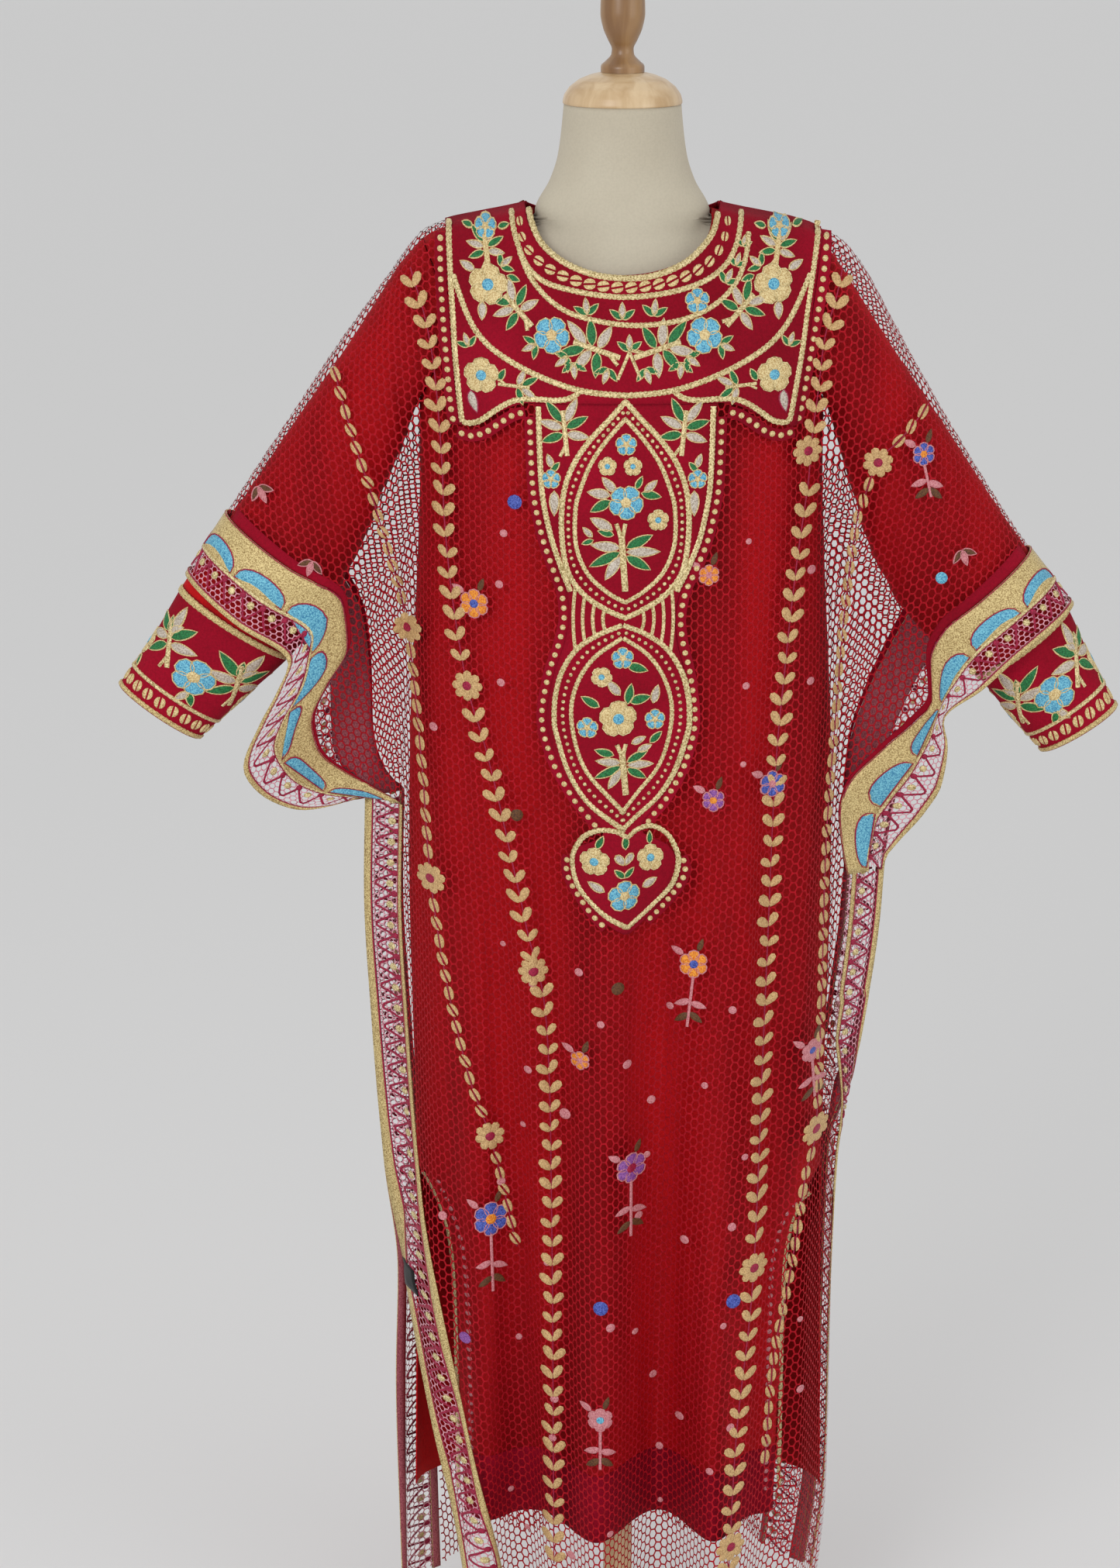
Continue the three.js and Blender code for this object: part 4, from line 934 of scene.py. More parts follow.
def lattice(read, wanted, s_range=(-640, 640), t_range=(-960, 660), size=1.0):
    """Ribbons of thread round six-sided holes in the flat cloth. read hangs them and wanted says where there is
    cloth. It also gives the width and length of that cloth in metres, and its area with the holes counted."""
    hole_step, hole_tall, half_thread = HOLE_STEP * size, HOLE_TALL * size, HALF_THREAD * size
    columns = np.arange(int(s_range[0] // hole_step), int(s_range[1] // hole_step) + 1)
    rows = np.arange(int(t_range[0] // hole_tall), int(t_range[1] // hole_tall) + 1)
    i, j = np.meshgrid(columns, rows, indexing="ij")
    s, t = i * hole_step, (j + 0.5 * (i % 2)) * hole_tall
    x, z = read(s, t)
    keep = wanted(x, z)
    wide, tall = hole_step * 2 / 3, hole_tall / 2
    shrink = 1 - half_thread / (hole_step * 0.62)
    corner = np.array([(wide, 0), (wide / 2, tall), (-wide / 2, tall)])
    corner = np.concatenate([corner, -corner]) * [shrink, 1 - half_thread / tall * 1.05]
    cs, ct = s[..., None] + corner[:, 0], t[..., None] + corner[:, 1]
    cx, cz = read(cs, ct)
    number = np.arange(i.size * 6).reshape(*i.shape, 6)
    odd = (i % 2).astype(int)
    J, I = np.meshgrid(np.arange(i.shape[1]), np.arange(i.shape[0]))

    def other(di, dj):
        a, b = np.clip(I + di, 0, i.shape[0] - 1), np.clip(J + dj, 0, i.shape[1] - 1)
        there = keep[a, b] & (I + di < i.shape[0]) & (J + dj < i.shape[1]) & (J + dj >= 0)
        return number[a, b], there

    above, has_above = other(0, 1)
    right_up, has_up = other(1, odd)
    right_low, has_low = other(1, odd - 1)
    ribbons = np.concatenate([
        np.stack([number[..., a], number[..., b], near[..., c], near[..., d]], -1)[keep & there]
        for a, b, near, c, d, there in ((1, 2, above, 4, 5, has_above), (0, 1, right_up, 3, 4, has_up),
                                        (5, 0, right_low, 2, 3, has_low))])
    knots = np.concatenate([
        np.stack([number[..., 0], right_up[..., 4], right_low[..., 2]], -1)[keep & has_up & has_low],
        np.stack([number[..., 1], above[..., 5], right_up[..., 3]], -1)[keep & has_up & has_above]])
    used = np.zeros(number.size, bool)
    used[ribbons.ravel()] = used[knots.ravel()] = True
    fresh = np.cumsum(used) - 1
    faces = fresh[ribbons].tolist() + fresh[knots].tolist()
    cut = np.array([np.ptp(s[keep]) + hole_step, np.ptp(t[keep]) + hole_tall]) / 1000
    return cx.ravel()[used], cz.ravel()[used], faces, cut, keep.sum() * hole_step * hole_tall / 1e6


# %% [markdown]
# Lay the holes out flat first and hang them afterwards; cutting them into a hung sheet would stretch the ones on
# a slope. Each piece is open thread with no thickness of its own, so light passes through it.

# %% The net itself
for face, word in FACES:
    outline = net_outline(face)
    x, z, faces, (width, length), whole_area = lattice(warp_and_weft(face), lambda x, z: inside(outline, x, z))
    points = np.stack([x, face * (net_depth(x, z, face) + net_gap(z)), z], -1)
    if face == FRONT:
        faces = [f[::-1] for f in faces]
    piece = new_piece(f"net {word}", points, faces, [net_thread], stands_for=[f"net_{word}"])

# %% [markdown]
# Embroidery is thread standing up from the cloth. Each filled shape is a small dome of stitches inside its
# outline, and each line is a low cord. Draw them flat in millimetres, collect them, and lay them all on their
# cloth in one go; then a leaf on a fold bends with the fold.

# %% A place to collect stitches
class Stitching:
    """Flat places, how high each stands, the faces between them and each face's thread."""
    def __init__(self):
        self.flat, self.lift, self.faces, self.thread, self.threads = [], [], [], [], []
        self.count = 0

    def colour(self, material):
        if material not in self.threads:
            self.threads.append(material)
        return self.threads.index(material)

    def add(self, flat, lift, faces, material):
        self.flat.append(np.asarray(flat, float))
        self.lift.append(np.asarray(lift, float))
        self.faces += [[self.count + i for i in f] for f in faces]
        self.thread += [self.colour(material)] * len(faces)
        self.count += len(flat)

    def fill(self, outline, material, high=0.9, base=0.0, outlined=None):
        """A domed patch of stitches in a closed outline, with a thin cord round it if asked for."""
        outline = np.asarray(outline, float)
        n, middle = len(outline), outline.mean(0)
        rings = [outline, mix(outline, middle, 0.16), mix(outline, middle, 0.6)]
        lift = np.repeat([base - 0.2, base + high * 0.8, base + high], n)
        faces = []
        for ring in (0, n):
            faces += [[ring + i, ring + (i + 1) % n, ring + n + (i + 1) % n, ring + n + i] for i in range(n)]
        faces += [[2 * n + i, 2 * n + (i + 1) % n, 3 * n] for i in range(n)]
        self.add(np.concatenate(rings + [middle[None]]), np.append(lift, base + high), faces, material)
        if outlined is not None:
            self.cord(np.concatenate([outline, outline[:1]]), 1.3, outlined, high * 1.15, base, every=None)

    def cord(self, path, width, material, high=0.8, base=0.0, every=2.2, knobbly=0.0):
        """A low cord along a path. A stitch is every so many mm long, or None for the path's own points, and
        knobbly makes each stitch of a chain swell."""
        path = np.asarray(path, float)
        run = run_along(path)
        if every:
            at = np.linspace(0, run[-1], max(2, int(run[-1] / every) + 1))
            path = np.stack([np.interp(at, run, path[:, 0]), np.interp(at, run, path[:, 1])], -1)
        way = np.gradient(path, axis=0)
        if len(path) > 3 and np.allclose(path[0], path[-1]):
            way[0] = way[-1] = path[1] - path[-2]
        across = np.stack([-way[:, 1], way[:, 0]], -1) / np.maximum(np.linalg.norm(way, axis=1), 1e-6)[:, None]
        swell = 1 + knobbly * (np.arange(len(path)) % 2 - 0.5)
        points, lift = [], []
        for share, up in ((-1, -0.15), (-0.62, 0.85), (0.62, 0.85), (1, -0.15)):
            points.append(path + across * (share * width / 2) * swell[:, None])
            lift.append(base + high * up * swell)
        n = len(path)
        faces = [f[::-1] for f in grid_faces(4, n)]
        self.add(np.concatenate(points), np.concatenate(lift), faces, material)

    def dot(self, x, z, radius, material, high=0.9, base=0.0, sides=8):
        turn = np.linspace(0, 2 * np.pi, sides, endpoint=False)
        self.fill(np.stack([x + radius * np.cos(turn), z + radius * np.sin(turn)], -1), material, high, base)

    def sew(self, name, place, slot, base=0.0):
        flat, lift = np.concatenate(self.flat), np.concatenate(self.lift) + base
        points = place(flat[:, 0], flat[:, 1], lift)
        mesh = new_piece(name, points, self.faces, self.threads, self.thread).data
        # Faces have to look away from the cloth, so they are turned if most of them look into it.
        out = place(flat[:, 0], flat[:, 1], lift + 3) - place(flat[:, 0], flat[:, 1], lift - 3)
        normals = np.empty(len(mesh.polygons) * 3)
        mesh.polygons.foreach_get("normal", normals)
        first = np.array([p.vertices[0] for p in mesh.polygons])
        if ((normals.reshape(-1, 3) * out[first]).sum(1) < 0).mean() > 0.5:
            mesh.flip_normals()


trial = Stitching()
trial.dot(0, 0, 3, red_cloth)
print("a dot of stitches has", trial.count, "points")


# %% [markdown]
# The motifs are few and old: a five-petalled flower, a leaf, a palm of leaves on a thick stem, a heart of two
# leaves, a coffee bean. Writing each as a small function of its own size and turn gives every copy the same
# hand, and lets one be bent or coloured for its place.

# %% Motifs
def turned_by(points, angle, at=(0, 0)):
    c, s = np.cos(angle), np.sin(angle)
    points = np.asarray(points, float)
    return np.stack([points[:, 0] * c - points[:, 1] * s + at[0], points[:, 0] * s + points[:, 1] * c + at[1]], -1)


def leaf_shape(length, width, bend=0.0, sides=6):
    """A pointed leaf lying along x from its stalk at 0."""
    t = np.linspace(0, 1, sides + 1)
    half = width / 2 * np.sin(np.pi * t ** 0.8) ** 0.8
    top = np.stack([t * length, half + bend * length * t * t], -1)
    low = np.stack([t * length, -half + bend * length * t * t], -1)
    return np.concatenate([low, top[::-1][1:-1]])


def round_petal(length, width, sides=9):
    turn = np.linspace(0, 2 * np.pi, sides, endpoint=False)
    swell = 1 + 0.25 * np.cos(turn)
    return np.stack([length / 2 + length / 2 * np.cos(turn), width / 2 * np.sin(turn) * swell], -1)


def leaf(work, x, z, angle, length, width, material, bend=0.0, edge=beige_silk, high=0.8):
    shape = turned_by(leaf_shape(length, width, bend), np.radians(angle), (x, z))
    work.fill(shape, material, high, outlined=edge)


BLUE, BEIGE = (blue_silk, beige_silk), (beige_silk, blue_silk)
OUTLINED = {blue_silk: beige_silk, beige_silk: gold_thread}


def flower(work, x, z, radius, petals, middle, angle=90, count=5, edge=None, high=1.0):
    """A ring of round petals with a raised middle; the first petal points along the angle."""
    edge = edge or OUTLINED.get(petals)
    petal = round_petal(radius * 0.88, radius * 4.7 / count)
    for k in range(count):
        a = np.radians(angle + 360 * k / count)
        root = (x + radius * 0.12 * np.cos(a), z + radius * 0.12 * np.sin(a))
        work.fill(turned_by(petal, a, root), petals, high, outlined=edge)
    work.dot(x, z, radius * 0.34, middle, high * 1.2, 0.25, 10)


def palm(work, x, z, angle, length, stem=gold_thread, stem_width=5.4, leaves=3):
    """A thick forked stem with leaves spreading either side of its middle, alternately dark and pale."""
    a = np.radians(angle)
    start, end = -0.5 * length, 0.5 * length
    work.cord(turned_by([(start, 0), (end, 0)], a, (x, z)), stem_width, stem, 1.1, every=2)
    fork = turned_by([(start + 0.25 * length, 0), (start, 0.16 * length)], a, (x, z))
    work.cord(fork, stem_width * 0.7, stem, 0.9)
    for side in (1, -1):
        for k in range(leaves):
            spread = side * (32 + 36 * k)
            root = turned_by([((0.24 - 0.13 * k) * length, side * stem_width * 0.3)], a, (x, z))[0]
            colour = green_silk if (k + (side > 0)) % 2 else silver_silk
            leaf(work, *root, angle + spread, length * (0.6 - 0.04 * k), length * 0.2, colour)


def sprig(work, x, z, angle, length, pale=silver_silk, dark=green_silk, edge=beige_silk):
    """Three small leaves from one point: dark at the sides and pale in the middle."""
    for spread, colour, share in ((0, pale, 1.0), (54, dark, 0.95), (-54, dark, 0.95)):
        leaf(work, x, z, angle + spread, length * share, length * 0.38, colour, edge=edge)


def heart_pair(work, x, z, angle, size, material, edge=None):
    """Two leaves that lean together like a heart; its point is at (x, z) and it opens along the angle."""
    petal = round_petal(size, size * 0.52)
    for lean in (38, -38):
        work.fill(turned_by(petal, np.radians(angle + lean), (x, z)), material, 0.9, outlined=edge)


def bean(work, x, z, angle, size, material, edge=None, wide=0.36):
    """A coffee bean: two halves with a gap between."""
    t = np.linspace(0, np.pi, 6)
    for side in (1, -1):
        half = np.stack([size / 2 * np.cos(t), side * (size * 0.07 + size * wide * np.sin(t))], -1)
        work.fill(turned_by(half, np.radians(angle), (x, z)), material, 0.9, outlined=edge)


def along(path, spacing):
    """Places and headings at even steps along a path, in degrees."""
    path = np.asarray(path, float)
    run = run_along(path)
    count = max(1, int(round(run[-1] / spacing)))
    at = (np.arange(count) + 0.5) / count * run[-1]
    x, z = np.interp(at, run, path[:, 0]), np.interp(at, run, path[:, 1])
    ahead = np.minimum(at + 1.5, run[-1])
    behind = ahead - 3
    dx = np.interp(ahead, run, path[:, 0]) - np.interp(behind, run, path[:, 0])
    dz = np.interp(ahead, run, path[:, 1]) - np.interp(behind, run, path[:, 1])
    return list(zip(x, z, np.degrees(np.arctan2(dz, dx))))


def smooth_path(points, steps=12):
    """A round curve through a few points."""
    p = np.array(points, float)
    p = np.concatenate([2 * p[:1] - p[1:2], p, 2 * p[-1:] - p[-2:-1]])
    out = []
    for i in range(1, len(p) - 2):
        t = np.linspace(0, 1, steps, endpoint=False)[:, None]
        a, b, c, d = p[i - 1:i + 3]
        out.append(0.5 * (2 * b + (c - a) * t + (2 * a - 5 * b + 4 * c - d) * t ** 2
                          + (3 * b - a - 3 * c + d) * t ** 3))
    return np.concatenate(out + [p[-2:-1]])


print("motifs: flower, leaf, palm, sprig, heart pair, coffee bean")

# %% [markdown]
# The net's edges are bound by borders: narrow ones down the sides, and wide ones of looped gold thread round the
# sleeve openings, with a strip of net between gold lines. Give each border its own ruler, millimetres along and
# across, and any pattern follows it round every bend.

# %% A ruler for a border
class Border:
    """Its ruler reads a mm along and c mm across; c is 0 at the net's edge. On the right the front border has
    slipped round behind the side, so there it is measured back from its own outer edge, and net fills the rest."""
    rows, columns = 300, 90

    def __init__(self, side, face, low, high, wide):
        self.side, self.face, self.wide = side, face, wide
        v, U = np.meshgrid(np.linspace(low, high, self.rows), np.linspace(1, 2, 121), indexing="ij")
        cloth = net_point(U, v, face, side)
        self.run = run_along(cloth[:, 60])
        self.length = float(self.run[-1])
        across = np.stack([run_along(row) for row in cloth])
        slipped = side == RIGHT and face == FRONT and wide == SIDE_WIDE
        self.inner = np.minimum(0, wide - across[:, -1]) if slipped else np.zeros(self.rows)
        self.c = np.linspace(self.inner.min(), wide, self.columns)
        share = (self.c - self.inner[:, None]) / (wide - self.inner[:, None])
        at = np.clip(share, 0, 1) * across[:, -1:]
        self.cloth = np.stack([np.stack([np.interp(at[j], across[j], cloth[j, :, k]) for k in range(3)], -1)
                               for j in range(self.rows)])
        self.normal = grid_normals(self.cloth) * (-face * side)

    def place(self, a, c, lift=0.0):
        a, c, lift = np.broadcast_arrays(np.asarray(a, float), np.asarray(c, float), np.asarray(lift, float))
        row = np.clip(np.interp(a, self.run, np.arange(self.rows)), 0, self.rows - 1.001)
        column = np.clip((c - self.c[0]) / (self.c[1] - self.c[0]), 0, self.columns - 1.001)
        j, i = row.astype(int), column.astype(int)
        s, t = (column - i)[..., None], (row - j)[..., None]

        def read(table):
            return mix(mix(table[j, i], table[j, i + 1], s), mix(table[j + 1, i], table[j + 1, i + 1], s), t)

        return read(self.cloth) + read(self.normal) * lift[..., None]

    def strip(self, low, high):
        """A closed strip of gold cloth between two lines across the border, with the wrong side's colour behind."""
        rows, columns = int(self.length / 9) + 1, 3 + int((high - low) / 9)
        a, c = np.meshgrid(np.linspace(0, self.length, rows), np.linspace(low, high, columns), indexing="ij")
        grid = self.place(a, c, 1.5)
        points, faces = cloth_wall(grid, 1.3, self.place(a, c, 3.5) - grid)
        is_inside = np.arange(len(faces)) // ((rows - 1) * (columns - 1)) == 1
        return points, faces, np.where(is_inside, 2, 0)


def joined(parts):
    """Several (points, faces, material number) as one."""
    points, faces, numbers, start = [], [], [], 0
    for p, f, number in parts:
        points.append(p)
        faces += [[start + i for i in face] for face in f]
        numbers += list(np.broadcast_to(number, len(f)))
        start += len(p)
    return np.concatenate(points), faces, numbers


def border_ground(border, name, stands_for, gold_strips, net_low_c, net_high_c):
    """A border's cloth: gold strips, and net with smaller holes between them."""
    inner = border.inner.min()

    def has_net(c, a):
        between = (c > net_low_c) & (c < net_high_c)
        beside = (c < 2) & (c > np.interp(a, border.run, border.inner)) & (inner < -3)
        return (between | beside) & (a > 0) & (a < border.length)

    c, a, faces, _, _ = lattice(lambda c, a: (c, a), has_net, (inner - 8, border.wide + 8),
                                (0, border.length + 12), 0.7)
    points = border.place(np.clip(a, 0, border.length), np.clip(c, inner, net_high_c), 0.6)
    if border.side * border.face < 0:
        faces = [f[::-1] for f in faces]
    points, faces, numbers = joined([border.strip(*between) for between in gold_strips] + [(points, faces, 1)])
    piece = new_piece(name, points, faces, [gold_cloth, border_net, wrong_side], numbers, [stands_for])


print("a border's ruler has", Border.rows, "by", Border.columns, "places")

# %% [markdown]
# On the net strip runs a stepped maroon line with a knot at each upper corner and a gold round in each bay. On
# the gold field sit half leaves of blue thread with a maroon outline, their flat side on the gold line.

# %% Stitches on the borders
def stepped_line(work, length, near, far, pitch=24.0):
    count = int(length / pitch)
    path = []
    for k in range(count):
        a = (k + 0.1) * length / count
        path += [(a, far), (a + 0.5 * pitch, near), (a + 0.84 * pitch, far)]
        work.dot(a + 0.5 * pitch, near - np.sign(far - near) * 0.8, 3.3, maroon_silk, 1.3, 0.6, 9)
        work.dot(a + 0.98 * pitch, mix(near, far, 0.22), 3.9, gold_thread, 1.3, 0.6, 9)
    work.cord(path, 2.2, maroon_silk, 1.1, 0.7, every=3)


def half_leaf(work, a, foot, length, high, material, edge):
    turn = np.linspace(0, np.pi, 11)
    outline = np.stack([a + length / 2 * np.cos(turn), foot - high * np.sin(turn) ** 0.8], -1)
    work.fill(outline, material, 1.1, 1.4, outlined=edge)


def cords(work, length, places, wide, steps):
    """Thin maroon cords that edge the gold strips, at these places across the border."""
    for c in places:
        work.cord([(a, c) for a in np.linspace(0, length, steps)], wide, maroon_silk, 0.7, 1.3, every=None)


side_borders = {}
for side, hand in HANDS:
    for face, word in FACES:
        edging = side_borders[side, face] = Border(side, face, 0.0, NET_UP - 1e-4, SIDE_WIDE)
        border_ground(edging, f"side border {word} {hand}", f"side_band_{word}_{hand}", [(0, 5.2), (31, 38)], 3.5, 32.5)
        work = Stitching()
        stepped_line(work, edging.length, 9.5, 27, 21)
        cords(work, edging.length, (5.2, 31), 1.3, 90)
        work.sew(f"side stitches {word} {hand}", edging.place, "gold")
        edging = Border(side, face, NET_UP, 1.0, SLEEVE_WIDE)
        border_ground(edging, f"sleeve border {word} {hand}", f"sleeve_band_{word}_{hand}", [(0, 40), (65, 70)],
                      38.5, 66.5)
        work = Stitching()
        stepped_line(work, edging.length, 44.5, 60.0)
        middle_cord = [(a, 38.4) for a in np.linspace(0, edging.length, 200)]
        work.cord(middle_cord, 3.4, gold_thread, 1.2, 1.4, every=2.6, knobbly=0.3)
        cords(work, edging.length, (40.4, 65.0, 0.6), 1.2, 120)
        leaves = int(edging.length / 60)
        for k in range(leaves):
            half_leaf(work, (k + 0.5) * edging.length / leaves, 36.2, 57, 18, blue_silk, maroon_silk)
        work.sew(f"sleeve stitches {word} {hand}", edging.place, "gold")
        print(f"{hand} {word}: side border {side_borders[side, face].length:.0f} mm, "
              f"sleeve border {edging.length:.0f} mm")

# %% [markdown]
# Over the shoulders lies a stiff maroon yoke, a square bib with a round neck and a scalloped lower edge, and
# from it a long panel runs down the front in two pointed medallions and a heart. Both are cut from firm cloth
# and laid on the net, so their shapes are drawn flat and set a little way off its surface.

# %% Cloth of the yoke and the panel
panel_middle = curve([829, 892, 930, 1040, 1150, 1222, 1343], [4, 4, 0, -4, 0, 2.5, 2.5])
panel_half = table("half", [
    (829, 2), (836, 12), (858, 34), (893, 52), (915, 44), (924, 26), (931, 17), (960, 38), (1000, 59), (1040, 68),
    (1085, 62), (1118, 53), (1140, 50), (1163, 53), (1185, 62), (1222, 75), (1268, 83), (1343, 86)])["half"]
YOKE_CORNER = {LEFT: (170, 156, 1318), RIGHT: (192, 166, 1316)}
YOKE_BACK_LOW, PANEL_LOW, PANEL_TOP, ON_NET = 1392, 829, 1343, 2.1


def shoulder_top(x):
    return shoulder_line(np.clip(x - 5, 87, 187)) + 5


def yoke_outline(face, side, u):
    """Top and bottom of the yoke at a share u from the middle (0) to the side (1)."""
    top_x, low_x, low_z = YOKE_CORNER[side]
    share, neck_half, neck_high = 0.5, 94, 1520
    angle = np.pi / 2 * (1 - np.minimum(u, share) / share)
    half = mix(neck_half, top_x, np.maximum(0, u - share) / (1 - share))
    neckline = np.stack([neck_half * np.cos(angle), neck_high - NECK_DROP[face] * np.sin(angle)], -1)
    top = np.where((u < share)[:, None], neckline, np.stack([half, np.minimum(neck_high, shoulder_top(half))], -1))
    if face == BACK:
        return top, np.stack([mix(0, low_x + 6, u), YOKE_BACK_LOW + 0 * u], -1)
    meets = panel_half(PANEL_TOP) + side * panel_middle(PANEL_TOP)
    t = np.clip((u - share) / (1 - share), 0, 1)
    low = np.stack([mix(meets, low_x, t), mix(PANEL_TOP, low_z, smooth(0.05, 1, t))], -1)
    return top, np.where((u < share)[:, None], np.stack([meets * u / share, PANEL_TOP + 0 * u], -1), low)


def yoke_grid(face, rows=26):
    u, w = np.linspace(0, 1, 33), np.linspace(0, 1, rows)[:, None, None]
    halves = {}
    for side in (LEFT, RIGHT):
        top, low = yoke_outline(face, side, u)
        halves[side] = mix(low, top, w) * [side, 1]
    return np.concatenate([halves[LEFT][:, ::-1], halves[RIGHT][:, 1:]], 1)


def applied(name, flat, face, stands_for):
    """A firm piece of maroon cloth laid on the net."""
    grid = on_net(face)(flat[..., 0], flat[..., 1], np.full(flat.shape[:2], ON_NET))
    cloth_piece(name, grid, 1.5, outward_of(face), maroon_cloth,
                [stands_for])


applied("yoke front cloth", yoke_grid(FRONT), FRONT, "yoke_front")
applied("yoke back cloth", yoke_grid(BACK, 14), BACK, "yoke_back")
z = np.linspace(PANEL_LOW + 0.5, PANEL_TOP - 0.4, 90)[:, None]
u = np.linspace(-1, 1, 17)[None, :]
applied("panel cloth", np.stack([panel_middle(z) + panel_half(z) * u, z + 0 * u], -1), FRONT, "centre_panel")

# %% [markdown]
# The yoke's embroidery is arranged round the neck in rings: a broad gold cord, a row of coffee beans, a second
# cord, a crescent of small sprays, and a deep band of palms and flowers between the last two cords. Drawing one
# side and mirroring it keeps the two sides alike, as an embroiderer does by folding the pattern.

# %% Rings and lines of the yoke
def pair_of(draw):
    """Calls draw for each side, with a function that moves a place of the left half to that side and one that
    turns an angle with it. The right side is up to a tenth wider at the top, as on the real one."""
    for side in (LEFT, RIGHT):
        def at(x, z, s=side, middle=3):
            if s == LEFT:
                return x, z
            return middle - (x - middle) * mix(1.0, 1.10, np.clip((z - 1320) / 190, 0, 1)), z

        def turn(angle, s=side):
            return angle if s == LEFT else 180 - angle

        draw(at, turn, side)


def beaded(path, width, size):
    """A strip of maroon cloth with a row of pale beads on it, outside the yoke or the panel."""
    beads.cord(path, width, maroon_cloth, 0.5, every=6)
    for x, z, _ in along(path, 9.4):
        beads.dot(x, z, size, beige_silk, 1.1, 0.4)


yoke_work, beads = Stitching(), Stitching()
neck_ring = smooth_path([
    (-90, 1515.5), (-86.6, 1504), (-78.6, 1489), (-65, 1476.5), (-47.3, 1466.8), (-25.2, 1459.8), (0, 1457.2),
    (22, 1458.2), (43, 1463.6), (62, 1472.6), (77.5, 1486), (86.5, 1498), (91.5, 1512)])
bean_ring = smooth_path([
    (-98.6, 1512), (-98, 1502), (-95, 1490), (-86, 1477.5), (-70, 1465), (-46, 1455.2), (-16, 1449.8),
    (14, 1449.4), (46, 1454.6), (70, 1463.4), (88, 1477), (97.5, 1494), (101.5, 1512)])
second_ring = smooth_path([
    (-106.5, 1514), (-104.5, 1501), (-99.5, 1485), (-92, 1469), (-82.6, 1458.8), (-69.3, 1451.4), (-47.3, 1446),
    (-25, 1442.4), (1.2, 1440.5), (29.8, 1442.4), (58.6, 1447.8), (82, 1456.6), (99, 1470), (108, 1486),
    (112.5, 1503), (114, 1513)])
third_ring = smooth_path([
    (-98.5, 1480), (-90, 1461), (-80, 1447.4), (-68, 1436.1), (-51.7, 1426.5), (-31.9, 1420.6), (-3.3, 1416),
    (23.1, 1415.4), (51.8, 1419), (76.2, 1427), (96.3, 1440), (110, 1457), (117.5, 1478), (120, 1496)])
yoke_work.cord(neck_ring, 5.8, gold_thread, 1.8, every=2.4, knobbly=0.2)
for ring, wide in ((second_ring, 5.2), (third_ring, 5.0)):
    yoke_work.cord(ring, wide, gold_thread, 1.3, every=2.2, knobbly=0.25)
for x, z, heading in along(bean_ring, 13.2):
    size = mix(7.5, 12.0, np.clip((1505 - z) / 50, 0, 1))
    bean(yoke_work, x, z, heading + 12, size, beige_silk)


outer_line = [(-166.5, 1503.6), (-166, 1492), (-165, 1474), (-163.5, 1448), (-161.5, 1421), (-159.5, 1388),
              (-156.5, 1356), (-153.5, 1328), (-152, 1321)]
scalloped_edge = [(-152, 1321), (-146, 1320.5), (-135.8, 1323.5), (-124.7, 1331.5), (-111.3, 1340.5), (-98, 1345.8),
                  (-80.3, 1346.6), (-64, 1346), (-50, 1348.5), (-40, 1355.5)]
inner_line = [(-161.5, 1457), (-156.5, 1443), (-148, 1422), (-138.5, 1405.8), (-123.5, 1391), (-100, 1377),
              (-73.7, 1365.6), (-47.3, 1357.2), (-25.3, 1353.4), (3, 1351.4)]
beads_outside = [(-174.5, 1494), (-174.5, 1474), (-173.4, 1442), (-171, 1409), (-167.5, 1370), (-164, 1334),
                 (-161, 1318)]
beads_under = [(-158, 1311), (-145, 1308.5), (-131, 1313), (-118, 1322), (-104, 1331), (-93, 1334)]


def lines(at, turn, side):
    for points, wide in ((outer_line, 5.6), (scalloped_edge, 5.4), (inner_line, 5.6)):
        yoke_work.cord(smooth_path([at(*p) for p in points], 8), wide, gold_thread, 1.1, knobbly=0.25)
    for points in (beads_outside, beads_under):
        beaded(smooth_path([at(*p) for p in points]), 11, 3.0)


pair_of(lines)
print("yoke lines drawn,", yoke_work.count, "points")

# %% [markdown]
# Between the cords stand large flowers with palms leaning away from them, and small leaves where there is room.
# They could be spaced by a rule, but an embroiderer chooses each place by eye, so each has its own place here.

# %% Flowers, palms and sprays of the yoke
def motifs(at, turn, side):
    w = yoke_work
    flower(w, *at(-131, 1500), 10.5, *BLUE, turn(90))
    palm(w, *at(-130, 1480), turn(98), 31, beige_silk)
    flower(w, *at(-128, 1449.4), 18.5, *BEIGE, turn(80))
    sprig(w, *at(-116, 1466), turn(40), 14)
    leaf(w, *at(-141, 1462), turn(150), 16, 7.5, silver_silk)
    leaf(w, *at(-133, 1434), turn(-92), 17, 8, silver_silk)
    leaf(w, *at(-110, 1458), turn(-20), 13, 6, green_silk)
    palm(w, *at(-99, 1427), turn(133), 38)
    flower(w, *at(-67.6, 1405.6), 17, *BLUE, turn(60))
    palm(w, *at(-25, 1393), turn(162), 46)
    for x, z, angle in ((-52, 1386, 215), (-47, 1381, 275), (-82, 1397, 205), (-14, 1376, 250)):
        sprig(w, *at(x, z), turn(angle), 15)
    flower(w, *at(-134, 1366), 16.5, *BEIGE, turn(90))
    sprig(w, *at(-146, 1392), turn(110), 13)
    palm(w, *at(-103, 1358), turn(-4), 30, stem_width=3.6, leaves=2)
    leaf(w, *at(-144, 1352), turn(-85), 22, 9, silver_silk, 0.2, maroon_silk)
    leaf(w, *at(-118, 1362), turn(60), 13, 6, green_silk)
    for x, z, angle in ((-143, 1500, 165), (-119, 1500, 15)):
        leaf(w, *at(x, z), turn(angle), 11, 5, green_silk)
    if side == RIGHT:
        flower(w, 70, 1436.5, 11.5, *BLUE)


